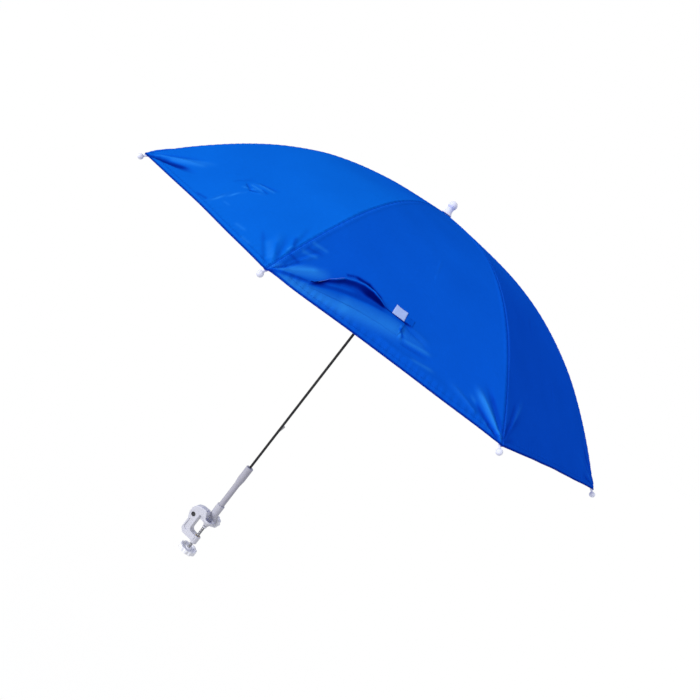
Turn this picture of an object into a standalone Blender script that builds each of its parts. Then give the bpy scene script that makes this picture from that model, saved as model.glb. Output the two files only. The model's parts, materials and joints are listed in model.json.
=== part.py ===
"""Clip-on stroller parasol: a C-clamp, a tilting post and a folding eight-rib sunshade.

Metres, +Z up along the post. The origin is the middle of the clamp's fixed jaw face.
"""
import math

import bmesh
import bpy
from mathutils import Matrix, Vector

# Shade
RIB_COUNT = 8
RIM_RADIUS = 0.400
SHADE_RISE = 0.1755
APEX_Z = 0.615
APEX_SLOPE = math.radians(5.2)
RIM_SLOPE = math.radians(44.6)
APEX_HANDLE = 0.36
RIM_HANDLE = 0.55
CLOTH_THICKNESS = 0.0006
CLOTH_HOLE_RADIUS = 0.0062
PANEL_SAG = 0.0025
SECTION_GAP = 0.0004

# Closing strap and labels, placed by the profile's parameter and the share of a section
STRAP_TOP_T = 0.918
STRAP_WIDTH_T = 0.031
STRAP_DROOP_T = 0.044
STRAP_SEWN_SHARE = 0.985
STRAP_FREE_SHARE = 0.260
STRAP_SEWN_PART = 0.24
STRAP_BOW = 0.0075
STRAP_THICKNESS = 0.0008
STRAP_RIB = 7
LABEL_T = (0.886, 0.9145)
LABEL_SHARE = (0.862, 0.976)
TAG_T = (0.894, 0.912)
TAG_SHARE = (-0.992, -0.945)
LABEL_THICKNESS = 0.0004

# Shaft, where it stands beside the clamp
SHAFT_X = -0.004
SHAFT_Y = 0.0145
ROD_RADIUS = 0.0021
ROD_FOOT_Z = 0.060
ROD_TOP_Z = 0.6195

# Fold mechanism
HINGE_RADIUS = 0.008
HINGE_Z = 0.6092
RIB_RADIUS = 0.0012
RIB_DROP = 0.0031
RIB_BLEND_REACH = 0.036
RIB_STATIONS = 12
PIVOT_REACH = 0.205
EYE_RADIUS = 0.0022
EYE_HOLE_RADIUS = 0.00105
EYE_THICKNESS = 0.0016
WIRE_RADIUS = 0.0006
SLEEVE_RADIUS = 0.0019
SLEEVE_HALF_LENGTH = 0.004
FORK_REACH = 0.0100
FORK_CHEEK = 0.0008
FORK_GAP = 0.0046
FORK_HEIGHT = 0.0030
PIVOT_PIN_RADIUS = 0.0007
STRETCHER_RADIUS = 0.0011
RUNNER_LENGTH = 0.040
RUNNER_RADIUS = 0.0050
RUNNER_BORE = 0.0024
RUNNER_RING_RADIUS = 0.0108
RUNNER_RING_HALF_HEIGHT = 0.0032
RIB_SLOT_WIDTH = 0.0032
KEYWAY_WIDTH = 0.0018
UPPER_CATCH_Z = 0.4880
LOWER_CATCH_Z = 0.2030
CATCH_HEIGHT = 0.016
CATCH_REACH = 0.0046
CATCH_THICKNESS = 0.0009

# Post
COLLAR_TOP_Z = 0.120
COLLAR_FOOT_Z = 0.086
COLLAR_RADIUS = 0.0064
TUBE_RADIUS = 0.00505
TUBE_FOOT_Z = 0.024
SOCKET_TOP_Z = 0.038
SOCKET_RADIUS = 0.0070
SOCKET_FLOOR_Z = 0.0237
HINGE_X = 0.0005
HINGE_AXIS_Z = 0.0040
LUG_RADIUS = 0.0062
LUG_HALF_WIDTH = 0.0048
LUG_TRIM_Z = 0.0118
ROSETTE_TEETH = 16
ROSETTE_DEPTH = 0.0006

# Clamp
BODY_HALF_WIDTH = 0.0070
SPINE_INNER_X = -0.0162
SPINE_OUTER_X = -0.0302
SHOULDER_X = -0.0349
ARM_UNDER_Z = 0.0019
ARM_RIB_Z = 0.0085
ARM_TOP_Z = 0.0217
WEB_HALF_WIDTH = 0.0031
LOWER_ARM_TOP_Z = -0.0243
LOWER_ARM_FOOT_Z = -0.0355
WELL_OUTER_RADIUS = 0.0093
WELL_RADIUS = 0.0072
WELL_RIM_Z = 0.0100
WELL_FLOOR_Z = 0.0064
LANYARD_HOLE = (-0.0262, 0.0015)
LANYARD_HOLE_RADIUS = 0.0037
BOSS_RADIUS = 0.0063
BOSS_FOOT_Z = -0.0385
SCREW_RADIUS = 0.0024
SCREW_FOOT_Z = -0.0530
INSERT_RADIUS = 0.0040
JAW_OPENING = 0.0023
JAW_PAD_RADIUS = 0.0050
PAD_RADIUS = 0.0038
PAD_THICKNESS = 0.0026
KNOB_RADIUS = 0.0160
KNOB_TOP_Z = -0.0495
KNOB_FOOT_Z = -0.0567
KNOB_SCALLOPS = 10
TILT_KNOB_RADIUS = 0.0110
TILT_KNOB_THICKNESS = 0.0068
TILT_KNOB_SCALLOPS = 9
BOLT_RADIUS = 0.0015
BOLT_ROOT_Y = -0.0040

# Fit between pieces that touch
GAP = 0.0003


def clear_scene():
    """Remove every object that the file starts with."""
    for item in list(bpy.data.objects):
        bpy.data.objects.remove(item, do_unlink=True)


def material(name, colour, roughness, metallic=0.0):
    """A plain Principled material with the piece's own colour."""
    made = bpy.data.materials.new(name)
    made.use_nodes = True
    shader = made.node_tree.nodes["Principled BSDF"]
    shader.inputs["Base Color"].default_value = (*colour, 1.0)
    shader.inputs["Roughness"].default_value = roughness
    shader.inputs["Metallic"].default_value = metallic
    return made


def mesh_object(name, mesh, finish=None, place=(0, 0, 0), turn=0.0, parent=None):
    """Put a mesh in the scene as one named piece, turned about Z at its place."""
    piece = bpy.data.objects.new(name, mesh)
    bpy.context.scene.collection.objects.link(piece)
    piece.location = place
    piece.rotation_euler = (0.0, 0.0, turn)
    if parent is not None:
        piece.parent = parent
    if finish is not None and not mesh.materials:
        mesh.materials.append(finish)
    return piece


def empty(name, place, turn=0.0, parent=None):
    """An empty on a joint's axis."""
    mark = bpy.data.objects.new(name, None)
    bpy.context.scene.collection.objects.link(mark)
    mark.location = place
    mark.rotation_euler = (0.0, 0.0, turn)
    mark.parent = parent
    return mark


def to_mesh(bm, name, smooth_angle=math.radians(32)):
    """Close a bmesh into a mesh with outward faces and smooth round sides."""
    bmesh.ops.recalc_face_normals(bm, faces=bm.faces)
    mesh = bpy.data.meshes.new(name)
    bm.to_mesh(mesh)
    bm.free()
    mesh.shade_smooth()
    mesh.set_sharp_from_angle(angle=smooth_angle)
    return mesh


def turned(profile, steps):
    """Spin a closed (radius, z) outline round Z; points on the axis are merged."""
    bm = bmesh.new()
    verts = [bm.verts.new((r, 0.0, z)) for r, z in profile]
    edges = [bm.edges.new((verts[i - 1], verts[i])) for i in range(len(verts))]
    bmesh.ops.spin(
        bm, geom=verts + edges, cent=(0, 0, 0), axis=(0, 0, 1), angle=2 * math.pi, steps=steps,
        use_duplicate=False, use_merge=True,
    )
    bmesh.ops.remove_doubles(bm, verts=bm.verts, dist=1e-6)
    bmesh.ops.dissolve_degenerate(bm, edges=bm.edges, dist=1e-7)
    loose = [edge for edge in bm.edges if not edge.link_faces]
    bmesh.ops.delete(bm, geom=loose, context="EDGES")
    bmesh.ops.recalc_face_normals(bm, faces=bm.faces)
    return bm


def prism(outline, low, high, axis="Y"):
    """Extrude an outline of (u, v) points from low to high along Y or Z."""
    def place(u, v, w):
        return (u, w, v) if axis == "Y" else (u, v, w)

    bm = bmesh.new()
    base = [bm.verts.new(place(u, v, low)) for u, v in outline]
    cap = [bm.verts.new(place(u, v, high)) for u, v in outline]
    bm.faces.new(base)
    bm.faces.new(cap)
    for i in range(len(outline)):
        j = (i + 1) % len(outline)
        bm.faces.new((base[i], base[j], cap[j], cap[i]))
    bmesh.ops.recalc_face_normals(bm, faces=bm.faces)
    return bm


def box(low, high):
    """A block between two corners."""
    outline = [(low[0], low[1]), (high[0], low[1]), (high[0], high[1]), (low[0], high[1])]
    return prism(outline, low[2], high[2], axis="Z")


def circle(radius, count, centre=(0.0, 0.0), start=0.0, sweep=2 * math.pi):
    """Points on a circle, or on an arc with both ends when it isn't whole."""
    whole = abs(sweep - 2 * math.pi) < 1e-9
    last = count if whole else count - 1
    return [
        (
            centre[0] + radius * math.cos(start + sweep * i / last),
            centre[1] + radius * math.sin(start + sweep * i / last),
        )
        for i in range(count)
    ]


def rounded(corners, steps=3):
    """An outline whose corners, given as (x, y, radius), are turned into arcs."""
    points = []
    for i, (x, y, radius) in enumerate(corners):
        here = Vector((x, y))
        before = Vector(corners[i - 1][:2]) - here
        after = Vector(corners[(i + 1) % len(corners)][:2]) - here
        if radius <= 0:
            points.append((x, y))
            continue
        half = before.angle(after) / 2
        reach = min(radius / math.tan(half), 0.48 * before.length, 0.48 * after.length)
        radius_here = reach * math.tan(half)
        middle = here + (before.normalized() + after.normalized()).normalized() * (
            radius_here / math.sin(half)
        )
        first = here + before.normalized() * reach - middle
        last = here + after.normalized() * reach - middle
        turn = first.angle_signed(last)
        for step in range(steps + 1):
            spoke = first.copy()
            spoke.rotate(Matrix.Rotation(-turn * step / steps, 2))
            points.append((middle.x + spoke.x, middle.y + spoke.y))
    return points


def sweep_tube(path, radii, sides=8):
    """A round tube along a path in the XZ plane, with flat ends."""
    bm = bmesh.new()
    rings = []
    for i, point in enumerate(path):
        before = path[max(i - 1, 0)]
        after = path[min(i + 1, len(path) - 1)]
        along = (after - before).normalized()
        across = Vector((0, 1, 0))
        up = along.cross(across).normalized()
        ring = []
        for side in range(sides):
            angle = 2 * math.pi * (side + 0.5) / sides
            spoke = up * math.cos(angle) + across * math.sin(angle)
            ring.append(bm.verts.new(point + spoke * radii[i]))
        rings.append(ring)
    for first, second in zip(rings, rings[1:]):
        for side in range(sides):
            nxt = (side + 1) % sides
            bm.faces.new((first[side], first[nxt], second[nxt], second[side]))
    bm.faces.new(rings[0])
    bm.faces.new(rings[-1])
    return bm


def moved(bm, matrix):
    """Move a bmesh in place and hand it back."""
    bmesh.ops.transform(bm, matrix=matrix, verts=bm.verts)
    return bm


def lay_along_y(bm):
    """Turn a shape made about Z so that its axis runs along Y."""
    return moved(bm, Matrix.Rotation(-math.pi / 2, 4, "X"))


def above(bm, height):
    """Keep the part of a solid that is above a height, and close it there."""
    parts = list(bm.verts) + list(bm.edges) + list(bm.faces)
    cut = bmesh.ops.bisect_plane(
        bm, geom=parts, plane_co=(0, 0, height), plane_no=(0, 0, 1), clear_inner=True,
    )
    rim = [item for item in cut["geom_cut"] if isinstance(item, bmesh.types.BMEdge)]
    bmesh.ops.edgeloop_fill(bm, edges=rim)
    return bm


def apply_boolean(mesh, operation, tool, name):
    """Join a solid to a mesh, or cut it out, and hand back the new mesh."""
    body = mesh_object(name, mesh)
    helper = mesh_object(name + "_tool", to_mesh(tool, name + "_tool"))
    step = body.modifiers.new(operation.title(), "BOOLEAN")
    step.operation = operation
    step.solver = "EXACT"
    step.object = helper
    graph = bpy.context.evaluated_depsgraph_get()
    made = bpy.data.meshes.new_from_object(body.evaluated_get(graph))
    bpy.data.objects.remove(body, do_unlink=True)
    bpy.data.objects.remove(helper, do_unlink=True)
    bm = bmesh.new()
    bm.from_mesh(made)
    bmesh.ops.remove_doubles(bm, verts=bm.verts, dist=2e-6)
    bmesh.ops.dissolve_degenerate(bm, edges=bm.edges, dist=1e-6)
    bm.to_mesh(made)
    bm.free()
    return made


def combine(name, base, joins=(), cuts=()):
    """Join solids to a base and cut solids out of it, as one mesh."""
    mesh = to_mesh(base, name)
    for tool in joins:
        mesh = apply_boolean(mesh, "UNION", tool, name)
    for tool in cuts:
        mesh = apply_boolean(mesh, "DIFFERENCE", tool, name)
    mesh.name = name
    mesh.shade_smooth()
    mesh.set_sharp_from_angle(angle=math.radians(32))
    return mesh


def shade_profile(t):
    """The cloth's outer line over a rib, as (radius, z), from apex 0 to rim 1."""
    rim_z = APEX_Z - SHADE_RISE
    start = Vector((0.0, APEX_Z))
    end = Vector((RIM_RADIUS, rim_z))
    leave = start + APEX_HANDLE * RIM_RADIUS * Vector((math.cos(APEX_SLOPE), -math.sin(APEX_SLOPE)))
    arrive = end - RIM_HANDLE * RIM_RADIUS * Vector((math.cos(RIM_SLOPE), -math.sin(RIM_SLOPE)))
    s = 1.0 - t
    return start * s ** 3 + leave * (3 * s * s * t) + arrive * (3 * s * t * t) + end * t ** 3


def shade_normal(t):
    """The outward direction of the cloth's line over a rib, in (radius, z)."""
    step = 1e-4
    along = shade_profile(min(t + step, 1.0)) - shade_profile(max(t - step, 0.0))
    return Vector((-along.y, along.x)).normalized()


def rib_point(t):
    """The rib's centre line below the cloth, lowered at the crown to meet its hinge."""
    point = shade_profile(t) - shade_normal(t) * RIB_DROP
    near = max(0.0, 1.0 - (point.x - HINGE_RADIUS) / RIB_BLEND_REACH)
    ease = near * near * (3 - 2 * near)
    start = shade_profile(rib_start()) - shade_normal(rib_start()) * RIB_DROP
    return Vector((point.x, point.y - (start.y - HINGE_Z) * ease))


def profile_at_radius(radius):
    """The parameter at which the cloth's line reaches a radius."""
    low, high = 0.0, 1.0
    for _ in range(40):
        middle = (low + high) / 2
        if shade_profile(middle).x < radius:
            low = middle
        else:
            high = middle
    return (low + high) / 2


def rib_start():
    """The parameter over the crown hinge."""
    return profile_at_radius(HINGE_RADIUS)


def pivot_point():
    """Where the stretcher's pin crosses the rib, as (radius, z), and the parameter there."""
    low, high = rib_start(), 1.0
    origin = Vector((HINGE_RADIUS, HINGE_Z))
    for _ in range(40):
        middle = (low + high) / 2
        if (rib_point(middle) - origin).length < PIVOT_REACH:
            low = middle
        else:
            high = middle
    return rib_point(low), low


def runner_joint_z():
    """Height of the stretchers' inner ends: the stretcher is as long as the pivot's reach."""
    pivot, _ = pivot_point()
    return HINGE_Z - 2 * (HINGE_Z - pivot.y)


def eye(radius, hole, thickness, sides=10):
    """A flat eye about the Y axis: a disc, and the pin-sized cutter for its hole."""
    disc = prism(circle(radius, sides), -thickness / 2, thickness / 2)
    drill = prism(circle(hole, sides), -thickness * 2, thickness * 2)
    return disc, drill


def rib_path():
    """The rib's centre line in its own frame: origin on the crown hinge, outward along +X."""
    start = rib_start()
    path = []
    for i in range(RIB_STATIONS):
        point = rib_point(start + (1.0 - start) * i / (RIB_STATIONS - 1))
        path.append(Vector((point.x - HINGE_RADIUS, 0, point.y - HINGE_Z)))
    path[0] = Vector((EYE_RADIUS * 0.5, 0, 0))
    return path


def rib_mesh():
    """One rib: a wire with an eye for the crown and a pinned sleeve for its stretcher."""
    path = rib_path()
    path[-1] = path[-1] + (path[-2] - path[-1]).normalized() * 0.003
    rod = sweep_tube(path, [RIB_RADIUS] * len(path), sides=6)
    disc, drill = eye(EYE_RADIUS, EYE_HOLE_RADIUS, EYE_THICKNESS)
    pivot, at = pivot_point()
    centre = Vector((pivot.x - HINGE_RADIUS, 0, pivot.y - HINGE_Z))
    ahead = rib_point(at + 0.005) - pivot
    along = Vector((ahead.x, 0, ahead.y)).normalized()
    sleeve_path = [centre - along * SLEEVE_HALF_LENGTH, centre + along * SLEEVE_HALF_LENGTH]
    sleeve = sweep_tube(sleeve_path, [SLEEVE_RADIUS] * 2, sides=10)
    _, pin_drill = eye(EYE_RADIUS, EYE_HOLE_RADIUS, 2 * SLEEVE_RADIUS, sides=8)
    moved(pin_drill, Matrix.Translation(centre))
    return combine("rib", rod, joins=(disc, sleeve), cuts=(drill, pin_drill))


def rib_tip_mesh():
    """The moulded rib tip: a sleeve over the rib's end, a neck and a ball."""
    sleeve = 0.0019
    steps = 12
    ball_radius = 0.0040
    ball_centre = 0.0080
    arc = [
        (ball_radius * math.cos(a), ball_centre + ball_radius * math.sin(a))
        for a in [math.radians(-68 + 158 * i / 6) for i in range(7)]
    ]
    arc[-1] = (0.0, ball_centre + ball_radius)
    bore = RIB_RADIUS + 0.00015
    profile = [(0.0, -0.0026), (bore, -0.0026), (bore, -0.013)]
    profile += [(sleeve, -0.013), (sleeve, 0.0)]
    profile += [(0.0014, 0.0018), (0.0013, 0.0034)] + arc
    bm = turned(profile, steps)
    path = rib_path()
    along = path[-1] - path[-2]
    moved(bm, Matrix.Rotation(math.pi / 2 - math.atan2(along.z, along.x), 4, "Y"))
    moved(bm, Matrix.Translation(path[-1]))
    return to_mesh(bm, "rib_tip")


def stretcher_mesh():
    """One stretcher, in its own frame: origin on the rib's pin, reaching inwards and down."""
    pivot, _ = pivot_point()
    inner = Vector((HINGE_RADIUS - pivot.x, 0, runner_joint_z() - pivot.y))
    along = inner.normalized()
    bar = sweep_tube([along * (FORK_REACH + 0.0007), inner], [STRETCHER_RADIUS] * 2, sides=6)
    slope = Matrix.Rotation(-math.atan2(along.z, along.x), 4, "Y")
    cheeks = []
    for side in (-1, 1):
        inside = side * FORK_GAP / 2
        outside = side * (FORK_GAP / 2 + FORK_CHEEK)
        outline = circle(FORK_HEIGHT / 2, 7, start=math.pi / 2, sweep=math.pi)
        outline += [(FORK_REACH + 0.0012, -FORK_HEIGHT / 2), (FORK_REACH + 0.0012, FORK_HEIGHT / 2)]
        cheek = prism(outline, min(inside, outside), max(inside, outside))
        cheeks.append(moved(cheek, slope))
    wide = FORK_GAP / 2 + FORK_CHEEK
    tall = FORK_HEIGHT / 2 + 0.0001
    bridge = box((FORK_REACH, -wide - 0.0001, -tall), (FORK_REACH + 0.0018, wide + 0.0001, tall))
    moved(bridge, slope)
    pin = prism(circle(PIVOT_PIN_RADIUS, 8), -wide + 0.0002, wide - 0.0002)
    disc, drill = eye(EYE_RADIUS, EYE_HOLE_RADIUS, EYE_THICKNESS)
    moved(disc, Matrix.Translation(inner))
    moved(drill, Matrix.Translation(inner))
    return combine("stretcher", bridge, joins=(cheeks[0], cheeks[1], pin, bar, disc), cuts=(drill,))


def shade_point(t, share, drop=0.0):
    """A point of the cloth in a rib's frame; share runs from -1 to 1 between panel middles."""
    half_angle = math.pi / RIB_COUNT
    point = shade_profile(t) - shade_normal(t) * drop
    half_width = point.x * math.sin(half_angle) * math.cos(half_angle) - SECTION_GAP / 2
    inset = point.x * math.sin(half_angle) ** 2
    away = abs(share)
    sag = PANEL_SAG * t * (1 - t) * 4 * math.sin(math.pi * away / 2)
    return Vector((point.x - inset * away - HINGE_RADIUS, half_width * share, point.y - sag - HINGE_Z))


def sheet_mesh(name, rows, columns, place):
    """A thin closed sheet: place(i, j, side) gives its points on the outer and inner side."""
    bm = bmesh.new()
    top, bottom = (
        [[bm.verts.new(place(i, j, side)) for j in range(columns)] for i in range(rows)]
        for side in (0, 1)
    )
    for i in range(rows - 1):
        for j in range(columns - 1):
            bm.faces.new((top[i][j], top[i + 1][j], top[i + 1][j + 1], top[i][j + 1]))
            bm.faces.new((bottom[i][j], bottom[i][j + 1], bottom[i + 1][j + 1], bottom[i + 1][j]))
    for i in range(rows - 1):
        bm.faces.new((top[i][0], bottom[i][0], bottom[i + 1][0], top[i + 1][0]))
        bm.faces.new((top[i][-1], top[i + 1][-1], bottom[i + 1][-1], bottom[i][-1]))
    for j in range(columns - 1):
        bm.faces.new((top[0][j], top[0][j + 1], bottom[0][j + 1], bottom[0][j]))
        bm.faces.new((top[-1][j], bottom[-1][j], bottom[-1][j + 1], top[-1][j + 1]))
    return to_mesh(bm, name)


def canopy_section_mesh():
    """One section of the cloth over a rib, in the rib's frame, cut at the panels' middles."""
    stations = 12
    across = 3
    start = profile_at_radius(CLOTH_HOLE_RADIUS)

    def place(i, j, side):
        t = start + (1.0 - start) * i / (stations - 1)
        return shade_point(t, (j - across) / across, CLOTH_THICKNESS * side)

    return sheet_mesh("canopy_section", stations, 2 * across + 1, place)


def patch_point(t, share, lift):
    """A point above the cloth by a lift, along the cloth's outward direction."""
    step = 0.002
    along = shade_point(t + step, share) - shade_point(t - step, share)
    across = shade_point(t, share + step) - shade_point(t, share - step)
    return shade_point(t, share) + along.cross(across).normalized() * lift


def patch_mesh(name, span_t, span_share, thickness):
    """A small label that lies on the cloth."""
    rows, columns = 3, 3

    def place(i, j, side):
        t = span_t[0] + (span_t[1] - span_t[0]) * i / (rows - 1)
        share = span_share[0] + (span_share[1] - span_share[0]) * j / (columns - 1)
        return patch_point(t, share, GAP + thickness * (1 - side))

    return sheet_mesh(name, rows, columns, place)


def strap_mesh():
    """The closing strap: sewn down near the panel's middle, bowed off the cloth beyond it."""
    rows, columns = 4, 16

    def place(i, j, side):
        away = j / (columns - 1)
        down = i / (rows - 1)
        t = STRAP_TOP_T + STRAP_DROOP_T * away ** 2 + STRAP_WIDTH_T * down * (1 - 0.15 * away ** 4)
        share = STRAP_SEWN_SHARE + (STRAP_FREE_SHARE - STRAP_SEWN_SHARE) * away
        free = max(0.0, (away - STRAP_SEWN_PART) / (1 - STRAP_SEWN_PART))
        bow = STRAP_BOW * math.sin(math.pi * min(free / 0.97, 1.0)) ** 1.3 * (1 - 0.85 * down)
        return patch_point(t, share, GAP + bow + STRAP_THICKNESS * (1 - side))

    return sheet_mesh("closing_strap", rows, columns, place)


def crown_mesh():
    """The slotted crown: two flanges with a groove for the wire, slotted for the ribs."""
    top = HINGE_Z + 0.0031
    foot = HINGE_Z - 0.0110
    bore = ROD_RADIUS + 0.0001
    profile = [
        (bore, foot), (0.0046, foot), (0.0046, HINGE_Z - 0.0042), (0.0098, HINGE_Z - 0.0034),
        (0.0102, HINGE_Z - 0.0030), (0.0102, HINGE_Z - 0.0011), (0.0068, HINGE_Z - 0.0011),
        (0.0068, HINGE_Z + 0.0011), (0.0102, HINGE_Z + 0.0011), (0.0102, HINGE_Z + 0.0025),
        (0.0094, top), (bore, top),
    ]
    slots = []
    for k in range(RIB_COUNT):
        slot = box((0.0052, -RIB_SLOT_WIDTH / 2, HINGE_Z - 0.006), (0.02, RIB_SLOT_WIDTH / 2, top + 0.01))
        slots.append(moved(slot, Matrix.Rotation(2 * math.pi * k / RIB_COUNT, 4, "Z")))
    return combine("crown_notch", turned(profile, 24), cuts=slots)


def ring_mesh(name, major, minor, z, steps=24, sides=5):
    """A closed ring of round wire."""
    profile = [(major + u, z + v) for u, v in circle(minor, sides)]
    return to_mesh(turned(profile, steps), name)


def finial_mesh():
    """The finial: a flared foot on the cloth, a waist and a ball, bored for the rod."""
    foot = APEX_Z - 0.0001
    ball_radius = 0.0068
    ball_z = APEX_Z + 0.0143
    bore = ROD_RADIUS + 0.0001
    arc = [
        (ball_radius * math.cos(a), ball_z + ball_radius * math.sin(a))
        for a in [math.radians(-38 + 128 * i / 7) for i in range(8)]
    ]
    arc[-1] = (0.0, ball_z + ball_radius)
    profile = [(0.0, ROD_TOP_Z + GAP), (bore, ROD_TOP_Z + GAP), (bore, foot), (0.0078, foot)]
    profile += [(0.0083, foot + 0.0006), (0.0067, foot + 0.0026)]
    profile += [(0.0055, foot + 0.0052), (0.0052, foot + 0.0080)]
    return to_mesh(turned(profile + arc, 24), "finial")


def shaft_mesh():
    """The black rod, slotted for its two spring catches."""
    profile = [(0.0, ROD_FOOT_Z), (ROD_RADIUS, ROD_FOOT_Z), (ROD_RADIUS, ROD_TOP_Z), (0.0, ROD_TOP_Z)]
    cuts = []
    for z in (UPPER_CATCH_Z, LOWER_CATCH_Z):
        half = CATCH_HEIGHT / 2 + GAP
        wide = CATCH_THICKNESS / 2 + GAP / 2
        cuts.append(box((-0.004, -wide, z - half), (0.004, wide, z + half)))
    return combine("shaft_rod", turned(profile, 16), cuts=cuts)


def catch_mesh(name):
    """A spring catch: a leaf that swings on its foot, its sloping nose out of the rod."""
    half = CATCH_HEIGHT / 2
    outline = [
        (-0.0008, -half), (0.0008, -half), (0.0016, -half + 0.001), (CATCH_REACH, half - 0.0022),
        (CATCH_REACH, half - 0.0006), (0.0016, half), (0.0006, half), (0.0003, half - 0.004),
        (-0.0008, -half + 0.005),
    ]
    return to_mesh(prism(outline, -CATCH_THICKNESS / 2, CATCH_THICKNESS / 2), name)


def runner_mesh():
    """The runner: a slim sleeve and a slotted ring, keyed for the catches; origin at its joint."""
    half = RUNNER_RING_HALF_HEIGHT
    foot = half - RUNNER_LENGTH
    profile = [(RUNNER_BORE, foot), (RUNNER_RADIUS - 0.0006, foot), (RUNNER_RADIUS, foot + 0.0006)]
    profile += [
        (RUNNER_RADIUS, foot + 0.012), (RUNNER_RADIUS - 0.0006, foot + 0.014),
        (RUNNER_RADIUS - 0.0006, foot + 0.022), (RUNNER_RADIUS, foot + 0.024),
        (RUNNER_RADIUS, -half - 0.003), (RUNNER_RING_RADIUS - 0.0006, -half),
        (RUNNER_RING_RADIUS, -half + 0.0006), (RUNNER_RING_RADIUS, half - 0.0006),
        (RUNNER_RING_RADIUS - 0.0006, half), (RUNNER_BORE, half),
    ]
    cuts = [box((0.0, -KEYWAY_WIDTH / 2, foot - 0.01), (0.0054, KEYWAY_WIDTH / 2, half + 0.01))]
    for k in range(RIB_COUNT):
        slot = box((0.0054, -RIB_SLOT_WIDTH / 2, -0.02), (0.02, RIB_SLOT_WIDTH / 2, 0.02))
        cuts.append(moved(slot, Matrix.Rotation(2 * math.pi * k / RIB_COUNT, 4, "Z")))
    return combine("runner", turned(profile, 24), cuts=cuts)


def collar_mesh():
    """The collar that holds the rod in the tube: straight above, tapered below."""
    tube_bore = TUBE_RADIUS + 0.0001
    step_z = COLLAR_TOP_Z - 0.004
    profile = [
        (ROD_RADIUS + 0.0001, COLLAR_TOP_Z), (ROD_RADIUS + 0.0001, step_z), (tube_bore, step_z),
        (tube_bore, COLLAR_FOOT_Z), (tube_bore + 0.0004, COLLAR_FOOT_Z),
        (COLLAR_RADIUS - 0.0002, COLLAR_FOOT_Z + 0.0070), (COLLAR_RADIUS, COLLAR_FOOT_Z + 0.0090),
        (COLLAR_RADIUS, COLLAR_TOP_Z - 0.0006), (COLLAR_RADIUS - 0.0006, COLLAR_TOP_Z),
    ]
    return to_mesh(turned(profile, 24), "rod_collar")


def tube_mesh():
    """The white tube between the collar and the tilting socket, bored for the rod."""
    top = COLLAR_TOP_Z - 0.004 - GAP
    bore = ROD_RADIUS + 0.0001
    profile = [
        (0.0, TUBE_FOOT_Z), (TUBE_RADIUS, TUBE_FOOT_Z), (TUBE_RADIUS, top), (bore, top),
        (bore, ROD_FOOT_Z - GAP), (0.0, ROD_FOOT_Z - GAP),
    ]
    return to_mesh(turned(profile, 24), "handle_tube")


def toothed_drum(radius, low, high, chamfer=0.0006):
    """A round boss along Z whose upper face carries a ring of radial teeth."""
    bm = bmesh.new()
    count = ROSETTE_TEETH * 2
    rings = [
        (radius - chamfer, low, 0), (radius, low + chamfer, 0), (radius, high - chamfer, 0),
        (radius - chamfer, high, 0), (radius - 2 * chamfer, high, 1), (0.0040, high, 1),
        (0.0034, high, 0),
    ]
    rows = []
    for reach, z, toothed in rings:
        row = []
        for i in range(count):
            angle = 2 * math.pi * i / count
            lift = ROSETTE_DEPTH * toothed * (i % 2)
            row.append(bm.verts.new((reach * math.cos(angle), reach * math.sin(angle), z + lift)))
        rows.append(row)
    for first, second in zip(rows, rows[1:]):
        for i in range(count):
            j = (i + 1) % count
            bm.faces.new((first[i], first[j], second[j], second[i]))
    bm.faces.new(rows[0])
    bm.faces.new(rows[-1])
    bmesh.ops.recalc_face_normals(bm, faces=bm.faces)
    return bm


def socket_mesh():
    """The tilting socket: a cup for the tube, set off a toothed hinge lug; origin on the hinge."""
    floor = SOCKET_FLOOR_Z - HINGE_AXIS_Z
    top = SOCKET_TOP_Z - HINGE_AXIS_Z
    profile = [
        (0.0, 0.0050), (SOCKET_RADIUS - 0.0020, 0.0050), (SOCKET_RADIUS, 0.0090),
        (SOCKET_RADIUS, top - 0.0006), (SOCKET_RADIUS - 0.0006, top), (TUBE_RADIUS + 0.0001, top),
        (TUBE_RADIUS + 0.0001, floor), (0.0, floor),
    ]
    cup = moved(turned(profile, 24), Matrix.Translation((SHAFT_X - HINGE_X, 0, 0)))
    neck = prism(
        [(-0.0051, 0.0010), (0.0051, 0.0010), (0.0016, 0.0121), (-0.0104, 0.0121)],
        -LUG_HALF_WIDTH + 0.0009, LUG_HALF_WIDTH - 0.0003)
    lug = toothed_drum(LUG_RADIUS, -LUG_HALF_WIDTH, LUG_HALF_WIDTH - ROSETTE_DEPTH)
    moved(lug, Matrix.Rotation(math.pi / 2, 4, "X"))
    trims = []
    for side in (-1, 1):
        near = side * LUG_HALF_WIDTH
        far = side * 0.02
        trims.append(box((-0.02, min(near, far), -0.02), (0.02, max(near, far), LUG_TRIM_Z)))
    bore = prism(circle(BOLT_RADIUS + 0.00015, 16), -0.02, 0.02)
    return combine("tilt_socket", cup, joins=(neck, lug), cuts=trims + [bore])


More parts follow.
